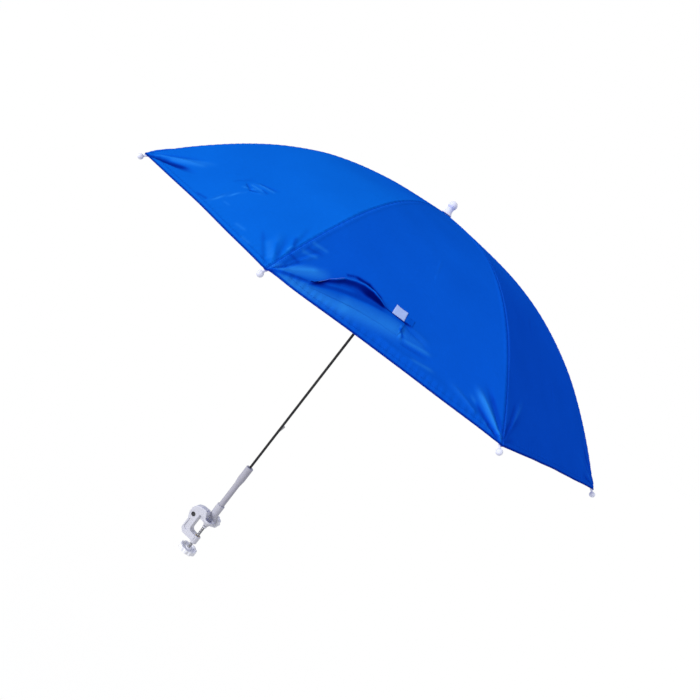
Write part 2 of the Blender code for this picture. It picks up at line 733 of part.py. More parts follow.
def clamp_mesh():
    """The moulded clamp: C-shaped, with a screw boss, a well, a hinge boss and an eyelet."""
    outline = rounded([
        (-0.0045, ARM_RIB_Z, 0), (SPINE_INNER_X, ARM_RIB_Z, 0.0015),
        (SPINE_INNER_X, LOWER_ARM_TOP_Z, 0.0060), (0.0, LOWER_ARM_TOP_Z, 0),
        (0.0, LOWER_ARM_FOOT_Z, 0), (-0.0240, LOWER_ARM_FOOT_Z - 0.0008, 0.0050),
        (SPINE_OUTER_X, -0.0300, 0.0040), (SPINE_OUTER_X, -0.0115, 0.0080),
        (SHOULDER_X, 0.0005, 0.0050), (SHOULDER_X + 0.0002, 0.0095, 0.0060),
        (-0.0305, ARM_TOP_Z - 0.0047, 0.0060), (-0.0225, ARM_TOP_Z - 0.0014, 0.0060),
        (-0.0100, ARM_TOP_Z, 0.0030), (-0.0045, WELL_RIM_Z + 0.0007, 0),
    ])
    frame = prism(outline, -BODY_HALF_WIDTH, BODY_HALF_WIDTH)
    soften(frame, 0.0011)
    web = prism(
        [(0.0010, ARM_UNDER_Z), (-0.0180, ARM_UNDER_Z), (-0.0180, ARM_RIB_Z + 0.0012),
         (0.0010, ARM_RIB_Z + 0.0012)],
        -WEB_HALF_WIDTH, WEB_HALF_WIDTH)
    seat_z = ARM_UNDER_Z - 0.0003
    well = turned(
        [(0.0, seat_z), (JAW_PAD_RADIUS + 0.0003, seat_z), (JAW_PAD_RADIUS + 0.0008, seat_z + 0.0006),
         (WELL_OUTER_RADIUS - 0.0003, 0.0070), (WELL_OUTER_RADIUS, 0.0082),
         (WELL_OUTER_RADIUS, WELL_RIM_Z), (WELL_OUTER_RADIUS - 0.0004, WELL_RIM_Z + 0.0004),
         (0.0, WELL_RIM_Z + 0.0004)], 28)
    boss_z = LOWER_ARM_TOP_Z + 0.0003
    boss = turned(
        [(0.0, BOSS_FOOT_Z), (BOSS_RADIUS - 0.0008, BOSS_FOOT_Z), (BOSS_RADIUS, BOSS_FOOT_Z + 0.0008),
         (BOSS_RADIUS, boss_z - 0.0006), (BOSS_RADIUS - 0.0006, boss_z), (0.0, boss_z)], 24)
    face = SHAFT_Y - LUG_HALF_WIDTH - GAP - ROSETTE_DEPTH
    at_hinge = Matrix.Translation((HINGE_X, 0, HINGE_AXIS_Z))
    hinge_boss = lay_along_y(toothed_drum(LUG_RADIUS, 0.0030, face))
    hinge_boss = above(moved(hinge_boss, at_hinge), ARM_UNDER_Z + 0.0002)
    well_cut = turned(
        [(0.0, WELL_FLOOR_Z), (WELL_RADIUS, WELL_FLOOR_Z), (WELL_RADIUS, 0.03), (0.0, 0.03)], 28)
    insert_cut = turned(
        [(0.0, -0.06), (SCREW_RADIUS + 0.0004, -0.06), (SCREW_RADIUS + 0.0004, BOSS_FOOT_Z + 0.0065),
         (INSERT_RADIUS + 0.0002, BOSS_FOOT_Z + 0.0065), (INSERT_RADIUS + 0.0002, 0.0), (0.0, 0.0)], 20)
    bolt_cut = moved(prism(circle(BOLT_RADIUS + 0.0001, 16), BOLT_ROOT_Y - 0.0004, 0.03), at_hinge)
    eyelet = prism(circle(LANYARD_HOLE_RADIUS, 20, centre=LANYARD_HOLE), -0.02, 0.02)
    webs = []
    for side in (-1, 1):
        near, far = side * (BODY_HALF_WIDTH - 0.0012), side * 0.02
        pocket = rounded([
            (SPINE_INNER_X - 0.0020, -0.0050, 0.0015), (SPINE_INNER_X - 0.0020, -0.0290, 0.0020),
            (SPINE_OUTER_X + 0.0030, -0.0262, 0.0020), (SPINE_OUTER_X + 0.0030, -0.0085, 0.0020),
        ], steps=3)
        webs.append(prism(pocket, min(near, far), max(near, far)))
    cuts = [well_cut, insert_cut, bolt_cut, eyelet] + webs
    return combine("clamp_body", frame, joins=(web, well, boss, hinge_boss), cuts=cuts)


def soften(bm, width):
    """Round the rims of an extruded outline, where its flat sides meet its walls."""
    bm.normal_update()
    rims = [e for e in bm.edges if len(e.link_faces) == 2 and e.calc_face_angle(0.0) > math.radians(60)]
    rims = [e for e in rims if max(len(f.verts) for f in e.link_faces) > 4]
    bmesh.ops.bevel(
        bm, geom=rims, offset=width, segments=2, profile=0.5, affect="EDGES", clamp_overlap=True)


def scalloped(radius, lobes, depth, per_lobe=6):
    """A hand knob's outline: round lobes with shallow finger hollows between them."""
    points = []
    for i in range(lobes * per_lobe):
        angle = 2 * math.pi * i / (lobes * per_lobe)
        hollow = 0.5 - 0.5 * math.cos(lobes * angle)
        reach = radius - depth * hollow ** 2
        points.append((reach * math.cos(angle), reach * math.sin(angle)))
    return points


def knob_mesh(name, radius, thickness, lobes, hole, recess_radius, hub_radius):
    """A scalloped knob about Z, its face at z = 0 and recessed round a hub, its back below."""
    base = prism(scalloped(radius, lobes, radius * 0.10), -thickness, 0.0, axis="Z")
    soften(base, 0.0007)
    recess = turned(
        [(hub_radius, 0.01), (hub_radius, -thickness * 0.40), (recess_radius, -thickness * 0.40),
         (recess_radius, 0.01)], 24)
    bore = prism(circle(hole, 16), -0.05, 0.05, axis="Z")
    return combine(name, base, cuts=(recess, bore))


def build_clamp(finishes):
    """The clamp with its screw, pads, knobs and hinge hardware."""
    mesh_object("clamp_body", clamp_mesh(), finishes["plastic"])

    pad_top = ARM_UNDER_Z - 0.0003 - GAP
    pad = [
        (0.0, 0.0), (JAW_PAD_RADIUS - 0.0004, 0.0), (JAW_PAD_RADIUS, 0.0004),
        (JAW_PAD_RADIUS, pad_top), (0.0, pad_top),
    ]
    mesh_object("jaw_pad", to_mesh(turned(pad, 24), "jaw_pad"), finishes["rubber"])

    screw_empty = empty("screw_axis", (0, 0, 0))
    foot = -JAW_OPENING - PAD_THICKNESS
    blind = -JAW_OPENING - 0.0011
    disc = [
        (0.0, -JAW_OPENING), (PAD_RADIUS - 0.0005, -JAW_OPENING),
        (PAD_RADIUS, -JAW_OPENING - 0.0005), (PAD_RADIUS, foot + 0.0004),
        (PAD_RADIUS - 0.0004, foot), (SCREW_RADIUS + 0.0002, foot),
        (SCREW_RADIUS + 0.0002, blind), (0.0, blind),
    ]
    disc_mesh = to_mesh(turned(disc, 24), "pressure_pad")
    mesh_object("pressure_pad", disc_mesh, finishes["plastic"], parent=screw_empty)

    top = blind - GAP
    rod = [
        (0.0, SCREW_FOOT_Z), (SCREW_RADIUS, SCREW_FOOT_Z), (SCREW_RADIUS, top - 0.0006),
        (SCREW_RADIUS - 0.0006, top), (0.0, top),
    ]
    rod_mesh = to_mesh(turned(rod, 20), "clamp_screw")
    mesh_object("clamp_screw", rod_mesh, finishes["steel"], parent=screw_empty)

    knob = knob_mesh(
        "clamp_knob", KNOB_RADIUS, KNOB_TOP_Z - KNOB_FOOT_Z, KNOB_SCALLOPS,
        SCREW_RADIUS + 0.0001, 0.0128, 0.0052)
    mesh_object("clamp_knob", knob, finishes["plastic"], place=(0, 0, KNOB_TOP_Z), parent=screw_empty)

    foot_z = BOSS_FOOT_Z + 0.0065 + GAP
    insert = [
        (SCREW_RADIUS + 0.00015, foot_z), (INSERT_RADIUS, foot_z),
        (INSERT_RADIUS, LOWER_ARM_TOP_Z - 0.0004), (SCREW_RADIUS + 0.00015, LOWER_ARM_TOP_Z - 0.0004),
    ]
    mesh_object("thread_insert", to_mesh(turned(insert, 20), "thread_insert"), finishes["brass"])

    hinge = empty("tilt_axis", (HINGE_X, SHAFT_Y, HINGE_AXIS_Z))
    knob_face = LUG_HALF_WIDTH + GAP + 0.0008 + GAP
    washer = [
        (BOLT_RADIUS + 0.00015, 0.0), (0.0052, 0.0), (0.0052, 0.0008), (BOLT_RADIUS + 0.00015, 0.0008),
    ]
    ring = lay_along_y(turned(washer, 24))
    moved(ring, Matrix.Translation((0, LUG_HALF_WIDTH + GAP, 0)))
    mesh_object("tilt_washer", to_mesh(ring, "tilt_washer"), finishes["steel"], parent=hinge)

    turn_face = knob_mesh(
        "tilt_knob", TILT_KNOB_RADIUS, TILT_KNOB_THICKNESS, TILT_KNOB_SCALLOPS,
        BOLT_RADIUS + 0.00015, 0.0084, 0.0046)
    outward = Matrix.Translation((0, knob_face + TILT_KNOB_THICKNESS, 0))
    flip = outward @ Matrix.Rotation(-math.pi / 2, 4, "X")
    turn_face.transform(flip)
    mesh_object("tilt_knob", turn_face, finishes["plastic"], parent=hinge)

    end_y = knob_face + TILT_KNOB_THICKNESS - 0.0010
    root = BOLT_ROOT_Y - SHAFT_Y
    stud = [
        (0.0, root), (BOLT_RADIUS - 0.0003, root), (BOLT_RADIUS, root + 0.0003),
        (BOLT_RADIUS, end_y - 0.0003), (BOLT_RADIUS - 0.0003, end_y), (0.0, end_y),
    ]
    stud_mesh = to_mesh(lay_along_y(turned(stud, 16)), "tilt_bolt")
    mesh_object("tilt_bolt", stud_mesh, finishes["steel"], parent=hinge)
    return hinge


def build_post(finishes, hinge):
    """The tilting socket, tube, collar, rod, catches, crown and finial."""
    mesh_object("tilt_socket", socket_mesh(), finishes["plastic"], parent=hinge)
    axis = empty("shaft_axis", (SHAFT_X - HINGE_X, 0, -HINGE_AXIS_Z), parent=hinge)
    mesh_object("handle_tube", tube_mesh(), finishes["plastic"], parent=axis)
    mesh_object("rod_collar", collar_mesh(), finishes["plastic"], parent=axis)
    mesh_object("shaft_rod", shaft_mesh(), finishes["rod"], parent=axis)
    for name, z in (("upper_catch", UPPER_CATCH_Z), ("lower_catch", LOWER_CATCH_Z)):
        mesh_object(name, catch_mesh(name), finishes["steel"], place=(0, 0, z), parent=axis)
    mesh_object("crown_notch", crown_mesh(), finishes["plastic"], parent=axis)
    wire = ring_mesh("crown_wire", HINGE_RADIUS, WIRE_RADIUS, HINGE_Z)
    mesh_object("crown_wire", wire, finishes["steel"], parent=axis)
    mesh_object("finial", finial_mesh(), finishes["plastic"], parent=axis)
    mesh_object("runner", runner_mesh(), finishes["plastic"], place=(0, 0, runner_joint_z()), parent=axis)
    return axis


def build_shade(finishes, axis):
    """Ribs, tips, stretchers and cloth sections, each turned about the shaft."""
    shared = {
        "rib": (rib_mesh(), finishes["steel"]),
        "rib_tip": (rib_tip_mesh(), finishes["plastic"]),
        "canopy_section": (canopy_section_mesh(), finishes["cloth"]),
    }
    stretcher = stretcher_mesh()
    pivot, _ = pivot_point()
    for k in range(RIB_COUNT):
        turn = 2 * math.pi * k / RIB_COUNT
        out = Vector((math.cos(turn), math.sin(turn), 0))
        crown_hinge = empty(f"rib_hinge_{k + 1}", out * HINGE_RADIUS + Vector((0, 0, HINGE_Z)), turn, axis)
        for name, (mesh, finish) in shared.items():
            mesh_object(f"{name}_{k + 1}", mesh, finish, parent=crown_hinge)
        place = Vector((pivot.x - HINGE_RADIUS, 0, pivot.y - HINGE_Z))
        mesh_object(f"stretcher_{k + 1}", stretcher, finishes["steel"], place=place, parent=crown_hinge)
        if k + 1 == STRAP_RIB:
            mesh_object("closing_strap", strap_mesh(), finishes["cloth"], parent=crown_hinge)
            label = patch_mesh("bare_label", LABEL_T, LABEL_SHARE, LABEL_THICKNESS)
            mesh_object("bare_label", label, finishes["label"], parent=crown_hinge)
        if k == STRAP_RIB:
            tag = patch_mesh("side_tag", TAG_T, TAG_SHARE, LABEL_THICKNESS)
            mesh_object("side_tag", tag, finishes["cloth"], parent=crown_hinge)


def main():
    """Build the whole parasol."""
    clear_scene()
    finishes = {
        "cloth": material("cloth", (0.003, 0.080, 0.600), 0.55),
        "plastic": material("plastic", (0.78, 0.78, 0.86), 0.38),
        "label": material("label", (0.80, 0.81, 0.84), 0.6),
        "rubber": material("rubber", (0.62, 0.62, 0.66), 0.75),
        "rod": material("rod", (0.015, 0.015, 0.017), 0.30, 0.6),
        "steel": material("steel", (0.60, 0.60, 0.60), 0.28, 1.0),
        "brass": material("brass", (0.72, 0.54, 0.24), 0.35, 1.0),
    }
    hinge = build_clamp(finishes)
    axis = build_post(finishes, hinge)
    build_shade(finishes, axis)


main()
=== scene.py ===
"""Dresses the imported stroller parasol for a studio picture.

The solid model gives the frame: the clamp, the post, the ribs and their joints. This script
adds the sewn cover, its seams and threads, the closing strap, the labels, the clamp's thread
and every finish. Lengths are in metres, in the model's own frame: +Z runs up the post, and
the origin is the middle of the clamp's fixed jaw face. Ribs and panels are numbered from 0,
and a panel lies between the rib of its number and the next one.
"""
from __future__ import annotations

import json
import logging
import math
from dataclasses import dataclass, field
from enum import Enum
from typing import Callable, Optional, Sequence, Union

import bmesh
import bpy
import numpy as np
from mathutils import Matrix, Vector

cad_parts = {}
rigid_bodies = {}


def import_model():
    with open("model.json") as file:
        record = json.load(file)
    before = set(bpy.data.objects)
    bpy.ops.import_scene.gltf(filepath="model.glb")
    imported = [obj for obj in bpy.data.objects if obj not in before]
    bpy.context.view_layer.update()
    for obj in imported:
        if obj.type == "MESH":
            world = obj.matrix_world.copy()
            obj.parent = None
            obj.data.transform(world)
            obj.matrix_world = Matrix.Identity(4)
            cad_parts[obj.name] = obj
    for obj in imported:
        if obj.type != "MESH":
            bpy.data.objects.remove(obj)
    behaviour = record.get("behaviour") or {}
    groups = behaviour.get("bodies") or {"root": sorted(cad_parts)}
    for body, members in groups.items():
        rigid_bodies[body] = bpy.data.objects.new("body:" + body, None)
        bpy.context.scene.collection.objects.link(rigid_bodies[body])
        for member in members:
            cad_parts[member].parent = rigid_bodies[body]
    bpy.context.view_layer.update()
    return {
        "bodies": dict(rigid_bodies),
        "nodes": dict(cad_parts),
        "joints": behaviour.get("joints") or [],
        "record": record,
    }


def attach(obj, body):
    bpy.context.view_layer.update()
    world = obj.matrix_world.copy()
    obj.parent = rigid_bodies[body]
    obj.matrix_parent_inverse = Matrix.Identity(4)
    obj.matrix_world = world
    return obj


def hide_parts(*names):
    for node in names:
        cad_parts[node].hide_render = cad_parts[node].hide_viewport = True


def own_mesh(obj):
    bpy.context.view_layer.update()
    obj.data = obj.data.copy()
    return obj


LOG = logging.getLogger("parasol")
MM = 1000.0  # millimetres in a metre
TINY = 1e-12  # keeps a zero from dividing, and puts a rib's own line on its far side
Array = np.ndarray
Material = bpy.types.Material
Node = bpy.types.Node
Piece = bpy.types.Object
Socket = bpy.types.NodeSocket
Tree = bpy.types.NodeTree
Triple = tuple[float, float, float]
Colour = Triple
Line = tuple[tuple[float, float], ...]
Feed = Union[float, Sequence[float], bpy.types.ID, Node, Socket]

# Folds that the picture shows, by panel. Each has the places of its ends, across and along,
# then its width, its height and, for some, its lean, all in millimetres.
FOLDS: dict[int, tuple[tuple[float, ...], ...]] = {
    5: (
        (-149, 447, -66, 416, 4.0, -3.0, 0.4), (-140, 441, -74, 398, 4.4, 2.4),
        (-150, 444, -86, 388, 3.0, -1.4), (-5, 438, -3, 398, 1.7, 0.8),
        (-13, 376, 12, 381, 2.8, -1.4, 0.3), (6, 384, 26, 370, 2.6, 1.3),
        (-5, 361, 26, 349, 2.8, -1.3, 0.3), (-10, 369, 16, 359, 3.0, 1.1),
        (-26, 388, -14, 356, 3.2, -0.7), (149, 447, 92, 413, 4.2, -0.7, 0.2),
        (149, 440, 100, 398, 4.2, 1.1), (148, 432, 111, 394, 3.8, -1.0),
        (146, 424, 114, 376, 3.4, 0.8), (144, 413, 108, 360, 3.6, -0.7),
    ),
    6: (
        (-150, 446, 44, 387, 12.0, 6.0), (-149, 447, -124, 404, 2.8, -2.4, 0.3),
        (-146, 440, -114, 384, 3.2, 1.2), (-143, 432, -110, 368, 3.0, -0.8),
        (-140, 438, -96, 398, 3.2, 1.0), (-20, 434, 110, 436, 8.0, 2.0),
        (6, 416, 46, 408, 2.4, 1.2), (6, 422, 46, 415, 2.3, -1.0), (20, 433, 58, 425, 2.4, 1.0),
        (0, 401, 42, 404, 2.2, -0.9), (0, 396, 38, 398, 2.4, 0.8), (-4, 404, 4, 422, 1.9, 1.4),
        (5, 304, 3, 256, 1.7, 0.4), (150, 447, 96, 400, 4.2, 2.6),
        (149, 447, 96, 422, 3.4, -1.6, 0.3), (148, 441, 108, 390, 3.4, -1.4),
        (112, 437, 68, 421, 4.0, 1.3),
    ),
    7: (
        (-148, 444, -112, 391, 2.8, -0.8), (-149, 438, -124, 376, 2.8, 0.4),
        (149, 446, 116, 416, 3.2, -1.1),
    ),
}

# Lines of painted shade and painted highlight that the picture shows, by panel: their ends, width
# and tone.
PAINTED_STROKES: dict[int, tuple[tuple[float, ...], ...]] = {
    5: (
        (-145, 447, -86, 421, 2.2, -0.5), (-146, 443, -75, 388, 4.4, 0.12),
        (-116, 430, -77, 400, 3.4, 0.16), (-2, 437, 5, 389, 1.2, 0.35),
        (-8, 385, 7, 374, 1.4, 0.3), (-7, 373, 15, 369, 1.4, 0.35), (-2, 364, 23, 358, 1.4, 0.3),
        (2, 381, 15, 377, 1.5, -0.25), (10, 368, 22, 367, 1.5, -0.2),
        (10, 422, 22, 420, 1.4, 0.15), (-25, 440, -4, 436, 2.0, -0.2),
        (146, 431, 120, 415, 3.1, -0.12), (136, 442, 92, 416, 2.4, -0.10),
        (142, 410, 123, 392, 2.4, -0.22), (137, 413, 135, 403, 1.5, 0.25),
        (139, 436, 109, 421, 5.4, 0.16), (60, 433, 79, 431, 2.0, 0.15),
        (87, 441, 105, 441, 2.0, 0.15),
    ),
    6: (
        (-148, 443, -96, 406, 6.4, 0.26), (-136, 427, -109, 409, 4.2, 0.2),
        (-149, 448, -108, 432, 2.2, -0.4), (-143, 450, -64, 431, 7.4, 0.33),
        (-68, 430, 2, 410, 9.5, 0.33), (-2, 413, 30, 404, 5.0, 0.12),
        (-28, 399, 6, 396, 1.9, -0.75), (-81, 389, -70, 382, 1.5, -0.5),
        (-70, 383, -54, 381, 2.2, -0.75), (-56, 381, -37, 387, 2.2, -0.75),
        (-39, 386, -27, 397, 2.0, -0.5), (-3, 408, 5, 415, 1.7, -0.3), (9, 416, 39, 410, 2.4, 0.2),
        (25, 431, 50, 426, 2.4, 0.15), (4, 401, 37, 403, 2.2, 0.08),
        (-130, 381, -111, 378, 2.4, 0.2), (-134, 400, -117, 395, 2.4, 0.2),
        (-132, 392, -114, 387, 2.0, -0.15), (-143, 414, -129, 415, 2.0, -0.2),
        (148, 442, 104, 410, 4.6, 0.24), (144, 445, 108, 425, 2.0, -0.28),
        (132, 442, 99, 420, 2.5, 0.2), (148, 436, 120, 402, 2.0, -0.2),
    ),
    7: (
        (-139, 437, -114, 395, 2.5, -0.12),
    ),
}


# Shapes shared by several pieces


def smooth(x: Array) -> Array:
    """An eased step from 0 at 0 to 1 at 1."""
    x = np.clip(x, 0.0, 1.0)
    return x * x * (3 - 2 * x)


def ease(x: Array, start: float, run: float) -> Array:
    """An eased step that is 0 at its start and 1 after its run, which may be negative."""
    return smooth((x - start) / run)


def bell(x: Array, centre: float, width: float) -> Array:
    """A bell curve of height 1."""
    return np.exp(-(((x - centre) / width) ** 2))


def unit(vectors: Array) -> Array:
    """The directions of an array of vectors."""
    return vectors / np.maximum(np.linalg.norm(vectors, axis=-1, keepdims=True), TINY)


@dataclass(frozen=True)
class Crease:
    """A line in one panel: a fold in the cloth, or a stroke of painted shade and highlight.

    Its places are in millimetres: across is measured from the panel's middle towards the next
    rib, and along is the length of cloth from the apex. The size is a fold's height, or a
    stroke's tone: below 0 it is painted shade, and above 0 a painted highlight.
    """

    panel: int
    across_start: float
    along_start: float
    across_end: float
    along_end: float
    width: float
    size: float
    lean: float = 0.0

    def measure(self, across: Array, along: Array) -> tuple[Array, Array]:
        """Find where points lie beside the line.

        Args:
            across: Distances from the panel's middle, in metres.
            along: Lengths of cloth from the apex, in metres.

        Returns:
            Each point's share of the line's run, and its distance off it in widths.
        """
        x, y = self.across_end - self.across_start, self.along_end - self.along_start
        run = math.hypot(x, y)
        x, y = x / run, y / run
        dx, dy = across * MM - self.across_start, along * MM - self.along_start
        return (dx * x + dy * y) / run, (dy * x - dx * y) / self.width


def creases(table: dict[int, tuple[tuple[float, ...], ...]]) -> list[Crease]:
    """The lines of a table, panel by panel."""
    return [Crease(panel, *row) for panel, rows in table.items() for row in rows]


@dataclass(frozen=True)
class ShadeShape:
    """The open shade's main form: eight ribs with cloth drawn straight between them.

    A place on the cloth is a position t, from apex 0 to rim 1, and a share of a section, from
    -1 at the middle of the panel before the rib to 1 at the middle of the panel after it.
    """

    ribs: int = 8
    radius: float = 0.400
    rise: float = 0.1755
    apex_z: float = 0.615
    axis: tuple[float, float] = (-0.004, 0.0145)
    apex_slope: float = math.radians(5.2)
    rim_slope: float = math.radians(44.6)
    apex_handle: float = 0.36
    rim_handle: float = 0.55
    hole: float = 0.0056
    sag: float = 0.0025
    hinge_z: float = 0.6092
    table_steps: int = 2001

    def profile(self, t: Array) -> Array:
        """The cloth's line over a rib.

        Args:
            t: Positions from apex to rim.

        Returns:
            Radius and height for each position.
        """

        def ahead(reach: float, slope: float) -> Array:
            """A step down a slope, for a share of the radius."""
            return reach * self.radius * np.array([math.cos(slope), -math.sin(slope)])

        start = np.array([0.0, self.apex_z])
        end = np.array([self.radius, self.apex_z - self.rise])
        leave = start + ahead(self.apex_handle, self.apex_slope)
        arrive = end - ahead(self.rim_handle, self.rim_slope)
        s, t = (1.0 - t)[..., None], t[..., None]
        return s ** 3 * start + 3 * s * s * t * leave + 3 * s * t * t * arrive + t ** 3 * end

    def length_table(self) -> tuple[Array, Array]:
        """Positions down the profile and the length of cloth from the apex to each."""
        t = np.linspace(0.0, 1.0, self.table_steps)
        steps = np.linalg.norm(np.diff(self.profile(t), axis=0), axis=1)
        return t, np.concatenate([[0.0], np.cumsum(steps)])

    def along(self, t: Array) -> Array:
        """The length of cloth from the apex to each position."""
        return np.interp(t, *self.length_table())

    def position(self, along: Array) -> Array:
        """The position that lies a length of cloth away from the apex."""
        table_t, table_s = self.length_table()
        return np.interp(along, table_s, table_t)

    def cloth_length(self) -> float:
        """The length of cloth from apex to rim along a rib."""
        return float(self.length_table()[1][-1])

    def hole_position(self) -> float:
        """The position of the edge of the hole at the apex."""
        t = np.linspace(0, 1, 2 * self.table_steps - 1)
        return float(np.interp(self.hole, self.profile(t)[:, 0], t))

    def half_chord(self, t: Array) -> Array:
        """Half the straight distance between neighbouring ribs at each position."""
        return self.profile(t)[..., 0] * math.sin(math.pi / self.ribs)

    def base_point(self, section: int, t: Array, share: Array) -> Array:
        """Points of the smooth cloth over one rib.

        Args:
            section: The rib's number.
            t: Positions from apex to rim.
            share: Shares across the section.

        Returns:
            Points in the model's frame.
        """
        half = math.pi / self.ribs
        line = self.profile(t)
        radius, height = line[..., 0], line[..., 1]
        away = np.abs(share)
        out = radius * (1.0 - away * math.sin(half) ** 2)
        side = radius * math.sin(half) * math.cos(half) * share
        sag = self.sag * 4 * t * (1 - t) * np.sin(math.pi * away / 2)
        turn = 2 * half * section
        x = self.axis[0] + out * math.cos(turn) - side * math.sin(turn)
        y = self.axis[1] + out * math.sin(turn) + side * math.cos(turn)
        return np.stack([x, y, height - sag], axis=-1)

    def rib_side(self, section: int) -> Vector:
        """The direction across a rib, towards the next one."""
        turn = 2 * math.pi * section / self.ribs
        return Vector((-math.sin(turn), math.cos(turn), 0.0))


@dataclass
class ClothRelief:
    """What sets the real cloth apart from its smooth form: folds, puckers, hem, and painted shade
    and sheen.
    """

    shape: ShadeShape
    hem_width: float = 0.0085
    hem_ease: float = 0.0009
    hem_lift: float = 0.00045
    seam_depth: float = 0.0008
    seam_width: float = 0.0016
    ridge: float = 0.00035
    ridge_place: float = 0.0042
    ridge_width: float = 0.0019
    pucker: float = 0.00022
    pucker_pitch: tuple[float, float] = (0.0093, 0.0088)
    pucker_reach: tuple[float, float] = (0.0045, 0.006)
    taut_seam: float = 0.007
    taut_apex: float = 0.03
    tip_folds: int = 6
    tip_inset: float = 4.0
    fine: float = 6.0
    seed: int = 7
    # Painted sheen: each panel's factor on the green, higher on the panels towards the lamp.
    tones: tuple[float, ...] = (0.80, 0.90, 1.0, 1.10, 1.18, 1.30, 1.03, 0.81)

    def __post_init__(self) -> None:
        """Collect the folds and the painted strokes; drawn folds follow those that the picture
        shows.
        """
        self.length = self.shape.cloth_length()
        self.folds = creases(FOLDS) + self.drawn_folds()
        self.strokes = creases(PAINTED_STROKES)

    def drawn_folds(self) -> list[Crease]:
        """Folds of the same kind for the panels that the picture doesn't show."""
        draw = np.random.default_rng(self.seed)
        edge = self.shape.half_chord(np.array(1.0)).item() * MM - self.tip_inset
        foot = self.length * MM - self.tip_inset - 1
        made: list[Crease] = []
        for panel in (7, 0, 1, 2, 3, 4):
            for side in (-1, 1):
                for _ in range(self.tip_folds):
                    angle = math.radians(draw.uniform(12, 66))
                    reach = draw.uniform(32, 92)
                    across = side * (edge - reach * math.cos(angle))
                    along = foot - reach * math.sin(angle)
                    height = draw.uniform(0.5, 1.5) * draw.choice([-1, 1])
                    width = draw.uniform(2.6, 4.6)
                    made.append(Crease(panel, side * edge, foot, across, along, width, height))
            for _ in range(3):
                across, down = draw.uniform(-60, 60), draw.uniform(250, 420)
                end = (across + draw.uniform(-18, 18), down - draw.uniform(25, 60))
                width, height = draw.uniform(2, 4), draw.uniform(-0.7, 0.6)
                made.append(Crease(panel, across, down, *end, width, height))
        return made

    def fold_height(self, panel: int, across: Array, along: Array, widest: float = 100.0) -> Array:
        """The lift that a panel's folds give.

        Args:
            panel: The panel's number.
            across: Distances from the panel's middle, in metres.
            along: Lengths of cloth from the apex, in metres.
            widest: The widest fold that counts, in millimetres.

        Returns:
            The lift at each point, in millimetres.
        """
        lift = np.zeros_like(across)
        for fold in self.folds:
            if fold.panel != panel or fold.width > widest:
                continue
            part, off = fold.measure(across, along)
            off = off / (0.45 + 0.75 * np.clip(part, 0, 1.2))  # a fold widens along its run
            ends = smooth(part / 0.16 + 0.35) * ease(part, 1.04, -0.5)
            lift += fold.size * bell(off, 0, 1) * (1.0 + fold.lean * off) * ends
        return lift

    def painted_stroke_shade(self, panel: int, across: Array, along: Array) -> Array:
        """The colour factor of a panel's strokes of painted shade and painted highlight.

        Args:
            panel: The panel's number.
            across: Distances from the panel's middle, in metres.
            along: Lengths of cloth from the apex, in metres.

        Returns:
            A factor at each point, 1 away from every stroke.
        """
        shade = np.ones_like(across)
        for stroke in self.strokes:
            if stroke.panel == panel:
                part, off = stroke.measure(across, along)
                ends = smooth(part / 0.2 + 0.6) * ease(part, 1.12, -0.3)
                shade *= 1.0 + stroke.size * bell(off, 0, 1) * ends
        return shade

    def by_panel(
        self, section: int, share: Array, half: Array, rule: Callable[..., Array]
    ) -> Array:
        """Apply a rule to the two panels that a section belongs to.

        Args:
            section: The rib's number.
            share: Shares across the section.
            half: Half the distance between neighbouring ribs at each point.
            rule: What gives values for a panel's number and distances from its middle.

        Returns:
            The value at each point.
        """
        across = half - np.abs(share) * half
        before = rule((section - 1) % self.shape.ribs, across)
        return np.where(share + TINY > 0, rule(section, -across), before)

    def painted_fold_shade(self, section: int, t: Array, share: Array) -> Array:
        """The painted shade and highlight of creases, seams and the hem edge, against open cloth.

        Args:
            section: The rib's number.
            t: Positions from apex to rim.
            share: Shares across the section.

        Returns:
            A factor for the cloth's colour at each point, 1 on open cloth.
        """
        along, half = self.shape.along(t), self.shape.half_chord(t)

        def rule(panel: int, across: Array) -> Array:
            """Painted shade in hollows and painted highlight on ridges, a little, and strokes more.
            """
            height = self.fold_height(panel, across, along, self.fine)
            painted_light = np.clip(1.0 + np.where(height < 0, 0.10, 0.06) * height, 0.6, 1.15)
            return painted_light * self.painted_stroke_shade(panel, across, along)

        # Painted shade in the seam's groove, a painted highlight beside it, painted shade at the
        # hem's edge.
        seam = 1.0 - 0.20 * bell(share * half, -0.0002, 0.0009)
        light = 1.0 + 0.16 * bell(share * half, 0.0018, 0.0007)
        hem = 1.0 - 0.5 * ease(along, self.length - 0.0022, 0.0012)
        return self.by_panel(section, share, half, rule) * seam * light * hem

    def painted_panel_sheen(self, section: int, t: Array, share: Array) -> Array:
        """Painted sheen: the satin is greener on the lit panels and deeper on the shaded ones.

        Args:
            section: The rib's number.
            t: Positions from apex to rim.
            share: Shares across the section.

        Returns:
            A factor for the colour's green at each point; it evens out towards the apex.
        """
        panel = np.where(share + TINY > 0, section, (section - 1) % self.shape.ribs)
        return 1.0 + (np.array(self.tones)[panel] - 1.0) * ease(self.shape.along(t), 0.02, 0.24)

    def waves(self, panel: int, across: Array, along: Array) -> Array:
        """Slow, shallow unevenness of the stretched cloth.

        Args:
            panel: The panel's number.
            across: Distances from the panel's middle.
            along: Lengths of cloth from the apex.

        Returns:
            The lift at each point, in metres.
        """
        draw = np.random.default_rng(100 + panel)
        lift = np.zeros_like(across)
        for _ in range(7):
            length = draw.uniform(0.05, 0.16)
            turn = draw.uniform(0, math.pi)
            phase = draw.uniform(0, 2 * math.pi)
            place = across * math.cos(turn) + along * math.sin(turn)
            lift += 0.0018 * length * np.sin(2 * math.pi * place / length + phase)
        return lift

